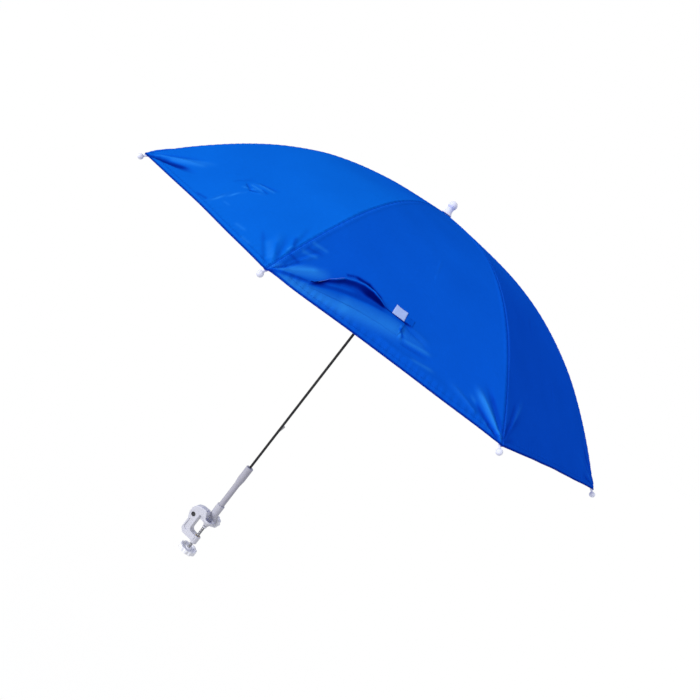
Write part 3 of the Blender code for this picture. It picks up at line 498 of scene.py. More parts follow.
    def puckers(self, panel: int, across: Array, along: Array, away: Array) -> Array:
        """Small ripples where thread gathers the cloth beside the seams and the hem.

        Args:
            panel: The panel's number.
            across: Distances from the panel's middle.
            along: Lengths of cloth from the apex.
            away: Distances from the seam.

        Returns:
            The lift at each point, in metres.
        """
        phase = np.random.default_rng(300 + panel).uniform(0, 6, 4)
        turn = 2 * math.pi / np.array(self.pucker_pitch)
        ripple = np.sin(along * turn[0] + phase[0] + 1.7 * np.sin(along * 61 + phase[1]))
        seam = ripple * np.exp(-away / self.pucker_reach[0])
        ripple = np.sin(across * turn[1] + phase[2] + 1.9 * np.sin(across * 47 + phase[3]))
        hem = 1.3 * ripple * bell(along, self.length - self.hem_width, self.pucker_reach[1])
        return self.pucker * (seam + hem)

    def hem(self, along: Array) -> Array:
        """How far each point is inside the doubled hem, from 0 to 1."""
        return ease(along, self.length - self.hem_width, self.hem_ease)

    def lift(self, section: int, t: Array, share: Array) -> Array:
        """How far the real cloth stands off its smooth form.

        Args:
            section: The rib's number.
            t: Positions from apex to rim.
            share: Shares across the section.

        Returns:
            The lift at each point, in metres, outward.
        """
        along, half = self.shape.along(t), self.shape.half_chord(t)
        away = np.abs(share) * half

        def rule(panel: int, across: Array) -> Array:
            """Folds and waves die out at the seams and the apex, where puckers go on."""
            here = self.fold_height(panel, across, along) / MM + self.waves(panel, across, along)
            here = here * smooth(away / self.taut_seam)
            here = here * ease(along, self.taut_apex, 2 * self.taut_apex)
            return here + self.puckers(panel, across, along, away)

        seam = self.ridge * bell(away, self.ridge_place, self.ridge_width)
        seam = seam - self.seam_depth * bell(away, 0, self.seam_width)
        return self.by_panel(section, share, half, rule) + seam + self.hem_lift * self.hem(along)


# Node trees and finishes


class Net:
    """A node tree under construction: each node is added with its settings and its feeds."""

    def __init__(self, tree: Tree) -> None:
        """Take the tree to build in."""
        self.tree = tree

    @classmethod
    def group(
        cls, kind: str, name: str, inputs: dict[str, Optional[float]], outputs: Sequence[str]
    ) -> Net:
        """Start a node group with named sockets.

        Args:
            kind: The tree's type.
            name: The group's name.
            inputs: Input names and their usual values, None for a vector or for geometry.
            outputs: Output names.

        Returns:
            The group, with its input sockets as source and its output node as out.
        """
        special = {"Vector": "NodeSocketVector", "Geometry": "NodeSocketGeometry"}
        net = cls(bpy.data.node_groups.new(name, kind))
        sockets = [("INPUT", label) for label in inputs] + [("OUTPUT", label) for label in outputs]
        for way, label in sockets:
            socket_type = special.get(label, "NodeSocketFloat")
            made = net.tree.interface.new_socket(label, in_out=way, socket_type=socket_type)
            if way == "INPUT" and inputs[label] is not None:
                made.default_value = inputs[label]
        net.source = net.add("NodeGroupInput").outputs
        net.out = net.add("NodeGroupOutput")
        return net

    def feed(self, node: Node, place: Union[int, str], source: Feed) -> None:
        """Set an input, or link it.

        Args:
            node: The node.
            place: The input's number or name.
            source: A value, a socket, or a node whose first output is meant.
        """
        target = node.inputs[place]
        if isinstance(source, Node):
            source = source.outputs[0]
        if isinstance(source, Socket):
            self.tree.links.new(source, target)
        else:
            target.default_value = (*source, 1.0) if target.type == "RGBA" else source

    def add(
        self, kind: str, feeds: Optional[dict[Union[int, str], Feed]] = None, **settings: object
    ) -> Node:
        """Add a node.

        Args:
            kind: The node's type.
            feeds: What each input gets, by its number or name.
            settings: The node's own properties, such as its operation.

        Returns:
            The node.
        """
        node = self.tree.nodes.new(kind)
        for name, setting in settings.items():
            setattr(node, name, setting)
        for place, source in (feeds or {}).items():
            self.feed(node, place, source)
        return node

    def math(self, operation: str, *sources: Feed) -> Node:
        """A node that works on values."""
        return self.add("ShaderNodeMath", dict(enumerate(sources)), operation=operation)

    def vector(self, operation: str, *sources: Feed) -> Node:
        """A node that works on vectors."""
        return self.add("ShaderNodeVectorMath", dict(enumerate(sources)), operation=operation)

    def noise(self, place: Feed, scale: Feed, detail: float) -> Socket:
        """Noise from 0 to 1 at the places of a vector."""
        feeds = {"Vector": place, "Scale": scale, "Detail": detail}
        return self.add("ShaderNodeTexNoise", feeds).outputs["Fac"]

    def range(
        self, source: Feed, low: float, high: float, to_low: Feed = 0.0, to_high: float = 1.0
    ) -> Socket:
        """Map a value from one range to another, held at the ends."""
        feeds = dict(enumerate((source, low, high, to_low, to_high)))
        return self.add("ShaderNodeMapRange", feeds).outputs[0]

    def mix(self, mask: Feed, first: Feed, second: Feed, blend: str = "MIX") -> Socket:
        """Mix two colours by a mask."""
        feeds = {0: mask, 6: first, 7: second}
        return self.add("ShaderNodeMix", feeds, data_type="RGBA", blend_type=blend).outputs[2]

    def multiply(self, first: Feed, second: Feed) -> Socket:
        """One colour times another, or times a value."""
        return self.mix(1.0, first, second, "MULTIPLY")


def mottle_group() -> Tree:
    """A shared effect: soft cloudy variation and fine grain, as two masks from 0 to 1."""
    found = bpy.data.node_groups.get("mottle")
    if found:
        return found
    inputs = {"Vector": None, "Cloud": 30.0, "Grain": 900.0}
    net = Net.group("ShaderNodeTree", "mottle", inputs, ("Cloud", "Grain"))
    for label, detail in (("Cloud", 3.0), ("Grain", 2.0)):
        net.feed(net.out, label, net.noise(net.source["Vector"], net.source[label], detail))
    return net.tree


def weave_group() -> Tree:
    """A shared effect: a plain weave with uneven threads, from cloth coordinates in metres."""
    found = bpy.data.node_groups.get("plain_weave")
    if found:
        return found
    inputs = {"Vector": None, "Threads": 2600.0}
    net = Net.group("ShaderNodeTree", "plain_weave", inputs, ("Height", "Slub"))
    place = net.source["Vector"]
    split = net.add("ShaderNodeSeparateXYZ", {0: place}).outputs
    waves = [
        net.math("SINE", net.math("MULTIPLY", split[axis], net.source["Threads"])) for axis in "XY"
    ]
    net.feed(net.out, "Height", net.math("MULTIPLY", *waves))
    slubs = [
        net.noise(net.vector("MULTIPLY", place, stretch), 1.0, 1.0)
        for stretch in ((90.0, 2400.0, 1.0), (2400.0, 90.0, 1.0))
    ]
    net.feed(net.out, "Slub", net.math("MULTIPLY", net.math("ADD", *slubs), 0.5))
    return net.tree


class Shader(Net):
    """A material under construction, round one Principled shader."""

    def __init__(self, name: str) -> None:
        """Start the material."""
        self.material = bpy.data.materials.new(name)
        self.material.use_nodes = True
        super().__init__(self.material.node_tree)
        self.principled = self.tree.nodes["Principled BSDF"]

    def place(self) -> Socket:
        """The object's own coordinates."""
        return self.add("ShaderNodeTexCoord").outputs["Object"]

    def attribute(self, name: str) -> Socket:
        """A float attribute that the piece's mesh carries."""
        return self.add("ShaderNodeAttribute", attribute_name=name).outputs["Fac"]

    def mottled(
        self, cloud: float, grain: float, low: float, first: Colour, second: Colour
    ) -> tuple[Socket, Sequence[Socket]]:
        """A colour with soft clouds of a second one.

        Args:
            cloud: The clouds' scale.
            grain: The grain's scale.
            low: The mask's value below which only the first colour shows.
            first: The main colour.
            second: The clouds' colour.

        Returns:
            The colour, and the two masks by name.
        """
        feeds = {"Vector": self.place(), "Cloud": cloud, "Grain": grain}
        masks = self.add("ShaderNodeGroup", node_tree=mottle_group())
        for label, source in feeds.items():
            self.feed(masks, label, source)
        return self.mix(self.range(masks.outputs["Cloud"], low, 0.7), first, second), masks.outputs

    def rough(self, mask: Feed, roughness: float, less: float, more: float) -> None:
        """Let a mask vary the shader's roughness."""
        varied = self.range(mask, 0.3, 0.7, roughness - less, roughness + more)
        self.feed(self.principled, "Roughness", varied)

    def bump(
        self, height: Feed, distance: float, strength: float, after: Optional[Feed] = None
    ) -> Node:
        """Add a bump, on top of an earlier one if there is one."""
        feeds = {"Strength": strength, "Distance": distance, "Height": height}
        made = self.add("ShaderNodeBump", feeds)
        if after is not None:
            self.feed(made, "Normal", after)
        self.feed(self.principled, "Normal", made)
        return made

    def finish(self, values: dict[str, Feed]) -> Material:
        """Feed the shader's own inputs and hand over the material."""
        for name, value in values.items():
            self.feed(self.principled, name, value)
        return self.material


@dataclass(frozen=True)
class ClothFinish:
    """Close-woven polyester with a soft sheen, and a third colour for its painted highlights."""

    colour: Colour
    deep: Colour
    roughness: float = 0.58
    sheen: float = 0.012
    sheen_tint: Colour = (0.0, 0.50, 1.0)
    gloss: float = 0.0
    painted_highlight: Colour = (0.018, 0.215, 0.80)
    full_highlight: float = 1.45

    def material(self, name: str) -> Material:
        """Build the material.

        Args:
            name: The material's name.

        Returns:
            The material. It reads the "cloth" UV map and the "shade" and "tone" attributes.
        """
        net = Shader(name)
        flat = net.add("ShaderNodeUVMap", uv_map="cloth")
        weave = net.add("ShaderNodeGroup", node_tree=weave_group())
        net.feed(weave, "Vector", flat)
        slub = weave.outputs["Slub"]
        cloudy, _ = net.mottled(14.0, 420.0, 0.3, self.colour, self.deep)
        # Painted light: shade darkens below 1 and adds a painted highlight above; tone paints the
        # green sheen.
        shade = net.attribute("shade")
        painted_light = net.add("ShaderNodeCombineXYZ", {0: 1.0, 1: net.attribute("tone"), 2: 1.0})
        highlight_mask = net.range(shade, 1.0, self.full_highlight)
        highlighted = net.mix(highlight_mask, net.multiply(cloudy, painted_light), self.painted_highlight)
        uneven = net.multiply(highlighted, net.range(slub, 0.3, 0.7, 0.93, 1.06))
        net.rough(slub, self.roughness, 0.05, 0.06)
        threads = net.bump(slub, 0.00005, 0.5)
        net.bump(weave.outputs["Height"], 0.00003, 0.5, after=threads)
        return net.finish({
            "Base Color": net.multiply(uneven, net.range(shade, 0.0, 1.0)),
            "Specular IOR Level": self.gloss,
            "Specular Tint": (0.05, 0.60, 1.0),
            "Sheen Weight": self.sheen,
            "Sheen Roughness": 0.45,
            "Sheen Tint": self.sheen_tint,
        })


@dataclass(frozen=True)
class Recess:
    """A round hole with painted shade inside: a centre, an axis mask and a radius."""

    centre: Triple
    across: Triple
    radius: float
    dark: float
    edge: float = 0.0002

    def mask(self, net: Shader) -> Socket:
        """The painted-shade factor that darkens the hole, 1 outside it."""
        off = net.vector("MULTIPLY", net.vector("SUBTRACT", net.place(), self.centre), self.across)
        away = net.vector("LENGTH", off).outputs["Value"]
        return net.range(away, self.radius, self.radius + self.edge, self.dark)


@dataclass(frozen=True)
class PlasticFinish:
    """Injection-moulded plastic: an even colour with faint flow marks."""

    colour: Colour
    shade: Colour
    roughness: float = 0.34
    grain: float = 0.000012
    gloss: float = 0.5
    recesses: tuple[Recess, ...] = ()

    def material(self, name: str) -> Material:
        """Build the material of a given name from the object's own coordinates."""
        net = Shader(name)
        colour, masks = net.mottled(70.0, 160.0, 0.35, self.colour, self.shade)
        # Painted shade inside each listed hole.
        for recess in self.recesses:
            colour = net.multiply(colour, recess.mask(net))
        net.rough(masks["Cloud"], self.roughness, 0.06, 0.08)
        net.bump(masks["Grain"], self.grain, 0.6)
        return net.finish({"Base Color": colour, "IOR": 1.49, "Specular IOR Level": self.gloss})


@dataclass(frozen=True)
class MetalFinish:
    """Drawn, plated or painted metal with fine lengthwise marks."""

    colour: Colour
    shade: Colour
    roughness: float
    metallic: float = 1.0
    streak: Triple = (900.0, 900.0, 40.0)

    def material(self, name: str) -> Material:
        """Build the material of a given name from the object's own coordinates."""
        net = Shader(name)
        streaks = net.noise(net.vector("MULTIPLY", net.place(), self.streak), 1.0, 3.0)
        colour, _ = net.mottled(110.0, 1500.0, 0.35, self.colour, self.shade)
        net.rough(streaks, self.roughness, 0.07, 0.1)
        net.bump(streaks, 0.00001, 0.5)
        return net.finish({"Base Color": colour, "Metallic": self.metallic})


# Painted shade inside the clamp's eyelet and its well.
EYELET = Recess((-0.0262, 0.0, 0.0015), (1.0, 0.0, 1.0), 0.0040, 0.10)
WELL = Recess((0.0, 0.0, 0.0135), (1.0, 1.0, 0.55), 0.0052, 0.28)


class Look(Enum):
    """Every finish of the object."""

    BLUE_CLOTH = ClothFinish((0.0024, 0.094, 0.663), (0.0020, 0.087, 0.634))
    BLUE_STRAP = ClothFinish((0.0012, 0.088, 0.640), (0.0010, 0.078, 0.590))
    LABEL_CLOTH = ClothFinish(
        (0.40, 0.52, 0.94), (0.36, 0.47, 0.88), 0.6, 0.05, sheen_tint=(0.8, 0.9, 1.0), gloss=0.3
    )
    SEWING_THREAD = PlasticFinish((0.0012, 0.078, 0.600), (0.0010, 0.068, 0.540), 0.6, 0.0, 0.0)
    PALE_THREAD = PlasticFinish((0.10, 0.20, 0.80), (0.06, 0.15, 0.72), 0.6, 0.0, 0.0)
    MOULDED_WHITE = PlasticFinish((0.60, 0.605, 0.69), (0.57, 0.575, 0.655))
    CLAMP_WHITE = PlasticFinish(
        (0.60, 0.605, 0.69), (0.57, 0.575, 0.655), recesses=(EYELET, WELL)
    )
    # The knobs' white is lighter than the clamp's: painted light on their shaded faces.
    KNOB_WHITE = PlasticFinish((0.82, 0.83, 0.90), (0.78, 0.79, 0.86), 0.5, 0.0)
    POST_GREY = PlasticFinish((0.40, 0.395, 0.465), (0.37, 0.365, 0.43), 0.42)
    SOCKET_GREY = PlasticFinish((0.49, 0.49, 0.565), (0.46, 0.46, 0.53), 0.40)
    TIP_WHITE = PlasticFinish((0.76, 0.79, 0.98), (0.73, 0.75, 0.95), 0.5, 0.0)
    PAD_RUBBER = PlasticFinish((0.55, 0.55, 0.60), (0.48, 0.48, 0.53), 0.72, 0.00004)
    BLACK_ROD = MetalFinish((0.012, 0.012, 0.014), (0.022, 0.022, 0.024), 0.30, 0.35)
    BRIGHT_PLATE = MetalFinish((0.34, 0.34, 0.36), (0.28, 0.28, 0.30), 0.45)
    RIB_STEEL = MetalFinish((0.42, 0.42, 0.43), (0.34, 0.34, 0.35), 0.32)
    TURNED_BRASS = MetalFinish((0.74, 0.55, 0.25), (0.62, 0.44, 0.18), 0.30)


class FinishBook:
    """The materials of all finishes, each made once."""

    def __init__(self) -> None:
        """Build the materials."""
        self.made = {look: look.value.material(look.name.lower()) for look in Look}

    def get(self, look: Look) -> Material:
        """The material of a finish."""
        return self.made[look]


# Making meshes


def add_piece(
    name: str,
    points: Sequence[Sequence[float]],
    faces: Sequence[Sequence[int]] = (),
    material: Optional[Material] = None,
    edges: Sequence[tuple[int, int]] = (),
) -> Piece:
    """Make a mesh object at the origin, with its place in its vertices.

    Args:
        name: The piece's name.
        points: Points in the model's frame.
        faces: Point numbers for each face, turning outward.
        material: The finish of every face.
        edges: Point numbers for each loose edge.

    Returns:
        The new object.
    """
    mesh = bpy.data.meshes.new(name)
    mesh.from_pydata([tuple(p) for p in points], edges, faces)
    if material is not None:
        mesh.materials.append(material)
        mesh.update()
        mesh.shade_smooth()
    piece = bpy.data.objects.new(name, mesh)
    bpy.context.scene.collection.objects.link(piece)
    return piece


def shell_faces(rows: int, columns: int, rim: bool) -> list[tuple[int, ...]]:
    """Faces of a closed shell whose points are an outer grid and then an inner one.

    Args:
        rows: The rows of each grid.
        columns: The points in a row.
        rim: Whether one more row of points, after both grids, rounds off the last row.

    Returns:
        Point numbers for each face, turning outward.
    """
    count, last = rows * columns, (rows - 1) * columns
    corners = [a for first in range(0, last, columns) for a in range(first, first + columns - 1)]
    faces: list[tuple[int, ...]] = [(a, a + columns, a + columns + 1, a + 1) for a in corners]
    faces += [(a, a + 1, a + columns + 1, a + columns) for a in (count + b for b in corners)]
    border = [*range(columns), *range(2 * columns - 1, count, columns)]
    border += [*range(count - 2, last - 1, -1), *range(last - columns, 0, -columns)]
    for a, b in zip(border, border[1:] + border[:1]):
        if rim and min(a, b) >= last:
            c, d = 2 * count + b - last, 2 * count + a - last
            faces += [(b, c, d, a), (c, count + b, count + a, d)]
        else:
            faces.append((a, b, count + b, count + a))
    if rim:
        faces.append((last, count + last, 2 * count))
        faces.append((count - 1, 2 * count + columns - 1, 2 * count - 1))
    return faces


def shell_piece(
    name: str, outer: Array, inner: Array, material: Material, rim: Optional[Array] = None
) -> Piece:
    """Make a thin closed shell between two grids of points.

    Args:
        name: The piece's name.
        outer: Points of the outer face, by row and column.
        inner: Points of the inner face.
        material: The finish.
        rim: Points that round off the last row.

    Returns:
        The new object. Without a rim its faces are turned outward.
    """
    grids = [outer.reshape(-1, 3), inner.reshape(-1, 3)]
    points = np.concatenate(grids if rim is None else [*grids, rim])
    faces = shell_faces(*outer.shape[:2], rim is not None)
    piece = add_piece(name, points, faces, material)
    if rim is None:
        bm = bmesh.new()
        bm.from_mesh(piece.data)
        bmesh.ops.recalc_face_normals(bm, faces=bm.faces)
        bm.to_mesh(piece.data)
        bm.free()
        piece.data.shade_smooth()
    return piece


def set_shade(piece: Piece, shade: Optional[Array] = None, tone: Optional[Array] = None) -> None:
    """Store the colour factors that the cloth finish reads, 1 where none is given.

    Args:
        piece: The piece.
        shade: How dark or light each point looks, as painted shade and highlight.
        tone: How green each point looks, as painted sheen. Painted shade makes a point less green
            in any case.
    """
    ones = np.ones(len(piece.data.vertices))
    shades = ones if shade is None else shade.reshape(-1)
    tones = (ones if tone is None else tone.reshape(-1)) * np.clip(shades, 0.2, 1)
    for name, values in (("shade", shades), ("tone", tones)):
        layer = piece.data.attributes.new(name, "FLOAT", "POINT")
        layer.data.foreach_set("value", values)


def set_flat(piece: Piece, across: Array, along: Array) -> None:
    """Store each point's place on the flat cloth, in metres, as the "cloth" UV map.

    Args:
        piece: A shell.
        across: The grid's first coordinates.
        along: The grid's second coordinates.
    """
    grid = np.stack([across.reshape(-1), along.reshape(-1)], axis=-1)
    rim = len(piece.data.vertices) - 2 * len(grid)
    flat = np.concatenate([grid, grid, grid[len(grid) - rim:]])
    layer = piece.data.uv_layers.new(name="cloth")
    index = np.zeros(len(piece.data.loops), int)
    piece.data.loops.foreach_get("vertex_index", index)
    layer.data.foreach_set("uv", flat[index].reshape(-1))


def stitch_tree(material: Material) -> Tree:
    """Geometry nodes that lay stitches along a line.

    Args:
        material: The thread's finish.

    Returns:
        A tree with the inputs Pitch, Stitch and Thread, in metres.
    """
    inputs = {"Geometry": None, "Pitch": 0.003, "Stitch": 0.0022, "Thread": 0.00022}
    net = Net.group("GeometryNodeTree", "stitches", inputs, ("Geometry",))
    given = net.source
    curve = net.add("GeometryNodeMeshToCurve", {0: given["Geometry"]})
    feeds = {"Curve": curve, "Length": given["Pitch"]}
    spots = net.add("GeometryNodeResampleCurve", feeds, mode="LENGTH")
    ball = net.add("GeometryNodeMeshUVSphere", {"Segments": 6, "Rings": 4, "Radius": 1.0})
    half = net.math("MULTIPLY", given["Stitch"], 0.5)
    size = net.add("ShaderNodeCombineXYZ", {0: given["Thread"], 1: given["Thread"], 2: half})
    tangent = net.add("GeometryNodeInputTangent")
    turn = net.add("FunctionNodeAlignRotationToVector", {"Vector": tangent}, axis="Z")
    feeds = {"Points": spots, "Instance": ball, "Rotation": turn, "Scale": size}
    spread = net.add("GeometryNodeInstanceOnPoints", feeds)
    whole = net.add("GeometryNodeRealizeInstances", {0: spread})
    soft = net.add("GeometryNodeSetShadeSmooth", {0: whole})
    net.feed(net.out, 0, net.add("GeometryNodeSetMaterial", {0: soft, "Material": material}))
    return net.tree


def run_nodes(piece: Piece, tree: Tree, sizes: dict[str, float]) -> None:
    """Run geometry nodes on a piece and keep the result as its plain mesh.

    Args:
        piece: The object whose mesh goes in and comes out.
        tree: The geometry nodes.
        sizes: Input name to value.
    """
    step = piece.modifiers.new("nodes", "NODES")
    step.node_group = tree
    for item in tree.interface.items_tree:
        if item.item_type == "SOCKET" and item.in_out == "INPUT" and item.name in sizes:
            step[item.identifier] = sizes[item.name]
    graph = bpy.context.evaluated_depsgraph_get()
    mesh = bpy.data.meshes.new_from_object(piece.evaluated_get(graph))
    piece.modifiers.remove(step)
    piece.data = mesh


def stitched_piece(name: str, lines: Sequence[Array], tree: Tree, sizes: Sequence[float]) -> Piece:
    """Make stitches along open lines.

    Args:
        name: The piece's name.
        lines: Points of each line.
        tree: The stitch nodes.
        sizes: The stitches' pitch, length and thickness.

    Returns:
        The new object.
    """
    starts = np.cumsum([0] + [len(line) for line in lines])
    edges = [(i, i + 1) for a, b in zip(starts, starts[1:]) for i in range(a, b - 1)]
    thread = add_piece(name, np.concatenate(lines), edges=edges)
    run_nodes(thread, tree, dict(zip(("Pitch", "Stitch", "Thread"), sizes)))
    return thread


# The shade


@dataclass
class Canopy:
    """The sewn cover: eight sections cut at the panels' middles, each riding its rib."""

    shape: ShadeShape
    relief: ClothRelief
    finishes: FinishBook
    rows: int = 226
    columns: int = 125
    thickness: float = 0.0005
    hem_thickness: float = 0.0011
    hem_roll: float = 0.0004
    hem_stitches: float = 0.0068
    folded_share: float = 0.25
    seam_offset: float = 0.0022
    thread_above: float = 0.00005
    stitch: Triple = (0.0030, 0.0024, 0.0002)
    corner_reach: float = 0.0018
    corner_length: float = 0.060
    rim_speed: float = 0.66
    level_share: float = 0.06
    row_bias: float = 0.10
    column_bias: float = 0.4
    column_power: float = 1.8
    seam_ends: tuple[float, float] = (0.020, 0.004)
    seam_points: int = 260
    hem_share: float = 0.995
    hem_points: int = 200

    def rows_t(self) -> Array:
        """Positions of the mesh's rows: even in cloth length, closer near the rim."""
        start = float(self.shape.along(np.array(self.shape.hole_position())))
        even = np.linspace(0.0, 1.0, self.rows)
        eased = even + self.row_bias * np.sin(math.pi * even) * even
        return self.shape.position(start + (self.relief.length - start) * (eased / eased[-1]))

    def columns_share(self) -> Array:
        """Shares of the mesh's columns: closer beside the seam."""
        even = np.linspace(-1.0, 1.0, self.columns)
        far = np.abs(even)
        curved = (1 - self.column_bias) * far + self.column_bias * far ** self.column_power
        return np.sign(even) * curved

    def base(self, section: int, t: Array, share: Array) -> Array:
        """Points of the smooth cloth, drawn out over the rib tips at its corners."""
        pull = self.corner_reach * (1.0 - np.clip(np.abs(share), 0, 1)) ** 1.5
        start = self.relief.length - self.corner_length
        pull = pull * ease(self.shape.along(t), start, self.corner_length)
        return self.shape.base_point(section, t + pull / self.rim_speed, share)

    def base_normal(self, section: int, t: Array, share: Array) -> Array:
        """Outward unit normals of the smooth cloth, level over the rib itself.

        Args:
            section: The rib's number.
            t: Positions from apex to rim.
            share: Shares across the section.

        Returns:
            A normal for each point.
        """
        step = 1e-3
        point = self.shape.base_point
        low, high = np.clip(t - step, 0, 1), np.clip(t + step, 0, 1)
        along = point(section, high, share) - point(section, low, share)
        near = np.where(share >= 0, share, share - step)
        across = unit(point(section, t, near + step) - point(section, t, near))
        level = (np.abs(share) < self.level_share)[..., None]
        across = np.where(level, np.array(self.shape.rib_side(section)), across)
        return unit(np.cross(along, across))

    def cloth_point(self, section: int, t: Array, share: Array, above: float = 0.0) -> Array:
        """Points of the finished cloth.

        Args:
            section: The rib's number.
            t: Positions from apex to rim.
            share: Shares across the section.
            above: A distance above the cloth's outer face.

        Returns:
            Points in the model's frame.
        """
        lift = self.relief.lift(section, t, share) + above
        return self.base(section, t, share) + self.base_normal(section, t, share) * lift[..., None]

    def rim_direction(self, section: int, share: Array) -> Array:
        """Unit directions that point down the cloth, past its rim."""
        last = np.ones_like(share)
        return unit(self.base(section, last, share) - self.base(section, last * 0.99, share))

    def whole_normals(self, section: int, t: Array, share: Array) -> Array:
        """Normals of the finished cloth that agree with the neighbouring section's.

        Args:
            section: The rib's number.
            t: Positions from apex to rim.
            share: Shares across the section.

        Returns:
            A unit normal for each point.
        """

        def point(number: int, down: Array, over: Array) -> Array:
            """Points of the finished cloth, held inside the section."""
            return self.cloth_point(number, np.clip(down, 0, 1), np.clip(over, -1, 1))

        step_t, step_s = 0.0009, 0.004
        along = point(section, t + step_t, share) - point(section, t - step_t, share)
        across = point(section, t, share + step_s) - point(section, t, share - step_s)
        for edge, turn in ((share >= 0.9999, 1), (share <= -0.9999, -1)):
            if edge.any():
                inset = np.full(edge.sum(), turn * (1 - step_s))
                far = point((section + turn) % self.shape.ribs, t[edge], -inset)
                across[edge] = (far - point(section, t[edge], inset)) * turn
        return unit(np.cross(along, across))

    def section_mesh(self, section: int) -> Piece:
        """Build one section.

        Args:
            section: The rib's number.

        Returns:
            A thin closed shell that meets its neighbours along the panels' middles.
        """
        t, share = np.meshgrid(self.rows_t(), self.columns_share(), indexing="ij")
        outer = self.cloth_point(section, t, share)
        normal = self.whole_normals(section, t, share)
        along = self.shape.along(t)
        depth = self.thickness + (self.hem_thickness - self.thickness) * self.relief.hem(along)
        inner = outer - normal * depth[..., None]
        down = self.rim_direction(section, share[-1])
        rim = (outer[-1] + inner[-1]) / 2 + down * self.hem_roll
        cloth = self.finishes.get(Look.BLUE_CLOTH)
        piece = shell_piece(f"cover_section_{section + 1}", outer, inner, cloth, rim)
        set_flat(piece, share * self.shape.half_chord(t), along)
        # Painted shade and highlight on the outer face, and painted sheen in the green.
        shade = self.relief.painted_fold_shade(section, t, share)
        tone = self.relief.painted_panel_sheen(section, t, share)
        set_shade(
            piece,
            np.concatenate([shade, np.ones_like(shade), shade[-1:]]),
            np.concatenate([tone, tone, tone[-1:]]),
        )
        normals = np.concatenate([part.reshape(-1, 3) for part in (normal, -normal, down)])
        piece.data.normals_split_custom_set_from_vertices([tuple(n) for n in normals])
        return piece

    def seam_lines(self, section: int) -> list[Array]:
        """The stitched lines of a section: one on each side of the seam, and the hem's."""
        start, end = self.seam_ends
        t = self.shape.position(np.linspace(start, self.relief.length - end, self.seam_points))
        offset = self.seam_offset / self.shape.half_chord(t)
        lines = [self.cloth_point(section, t, side * offset, self.thread_above) for side in (-1, 1)]
        share = np.linspace(-self.hem_share, self.hem_share, self.hem_points)
        hem = self.shape.position(np.full_like(share, self.relief.length - self.hem_stitches))
        return lines + [self.cloth_point(section, hem, share, self.thread_above)]

    def fold_with(self, piece: Piece, section: int) -> None:
        """Ride a piece on its rib, and give it a mesh of its own."""
        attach(piece, f"rib_{section + 1}")
        side = self.shape.rib_side(section)
        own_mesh(piece)

    def flat_area(self) -> float:
        """The area of one section's cloth before sewing."""
        t = np.linspace(self.shape.hole_position(), 1.0, 400)
        half = self.shape.half_chord(t)
        return float(np.sum((half[1:] + half[:-1]) * np.diff(self.shape.along(t))))

    def build(self) -> None:
        """Build, dress and hang all eight sections with their threads."""
        stitches = stitch_tree(self.finishes.get(Look.SEWING_THREAD))
        width = 2 * float(self.shape.half_chord(np.array(1.0)))
        length = self.shape.cloth_length()
        for section in range(self.shape.ribs):
            piece = self.section_mesh(section)
            number = section + 1
            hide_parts(f"canopy_section_{number}")
            self.flat_area()
            lines = self.seam_lines(section)
            thread = stitched_piece(f"seam_thread_{number}", lines, stitches, self.stitch)
            for part in (piece, thread):
                self.fold_with(part, section)
            LOG.info("cover section %d: %d faces", number, len(piece.data.polygons))


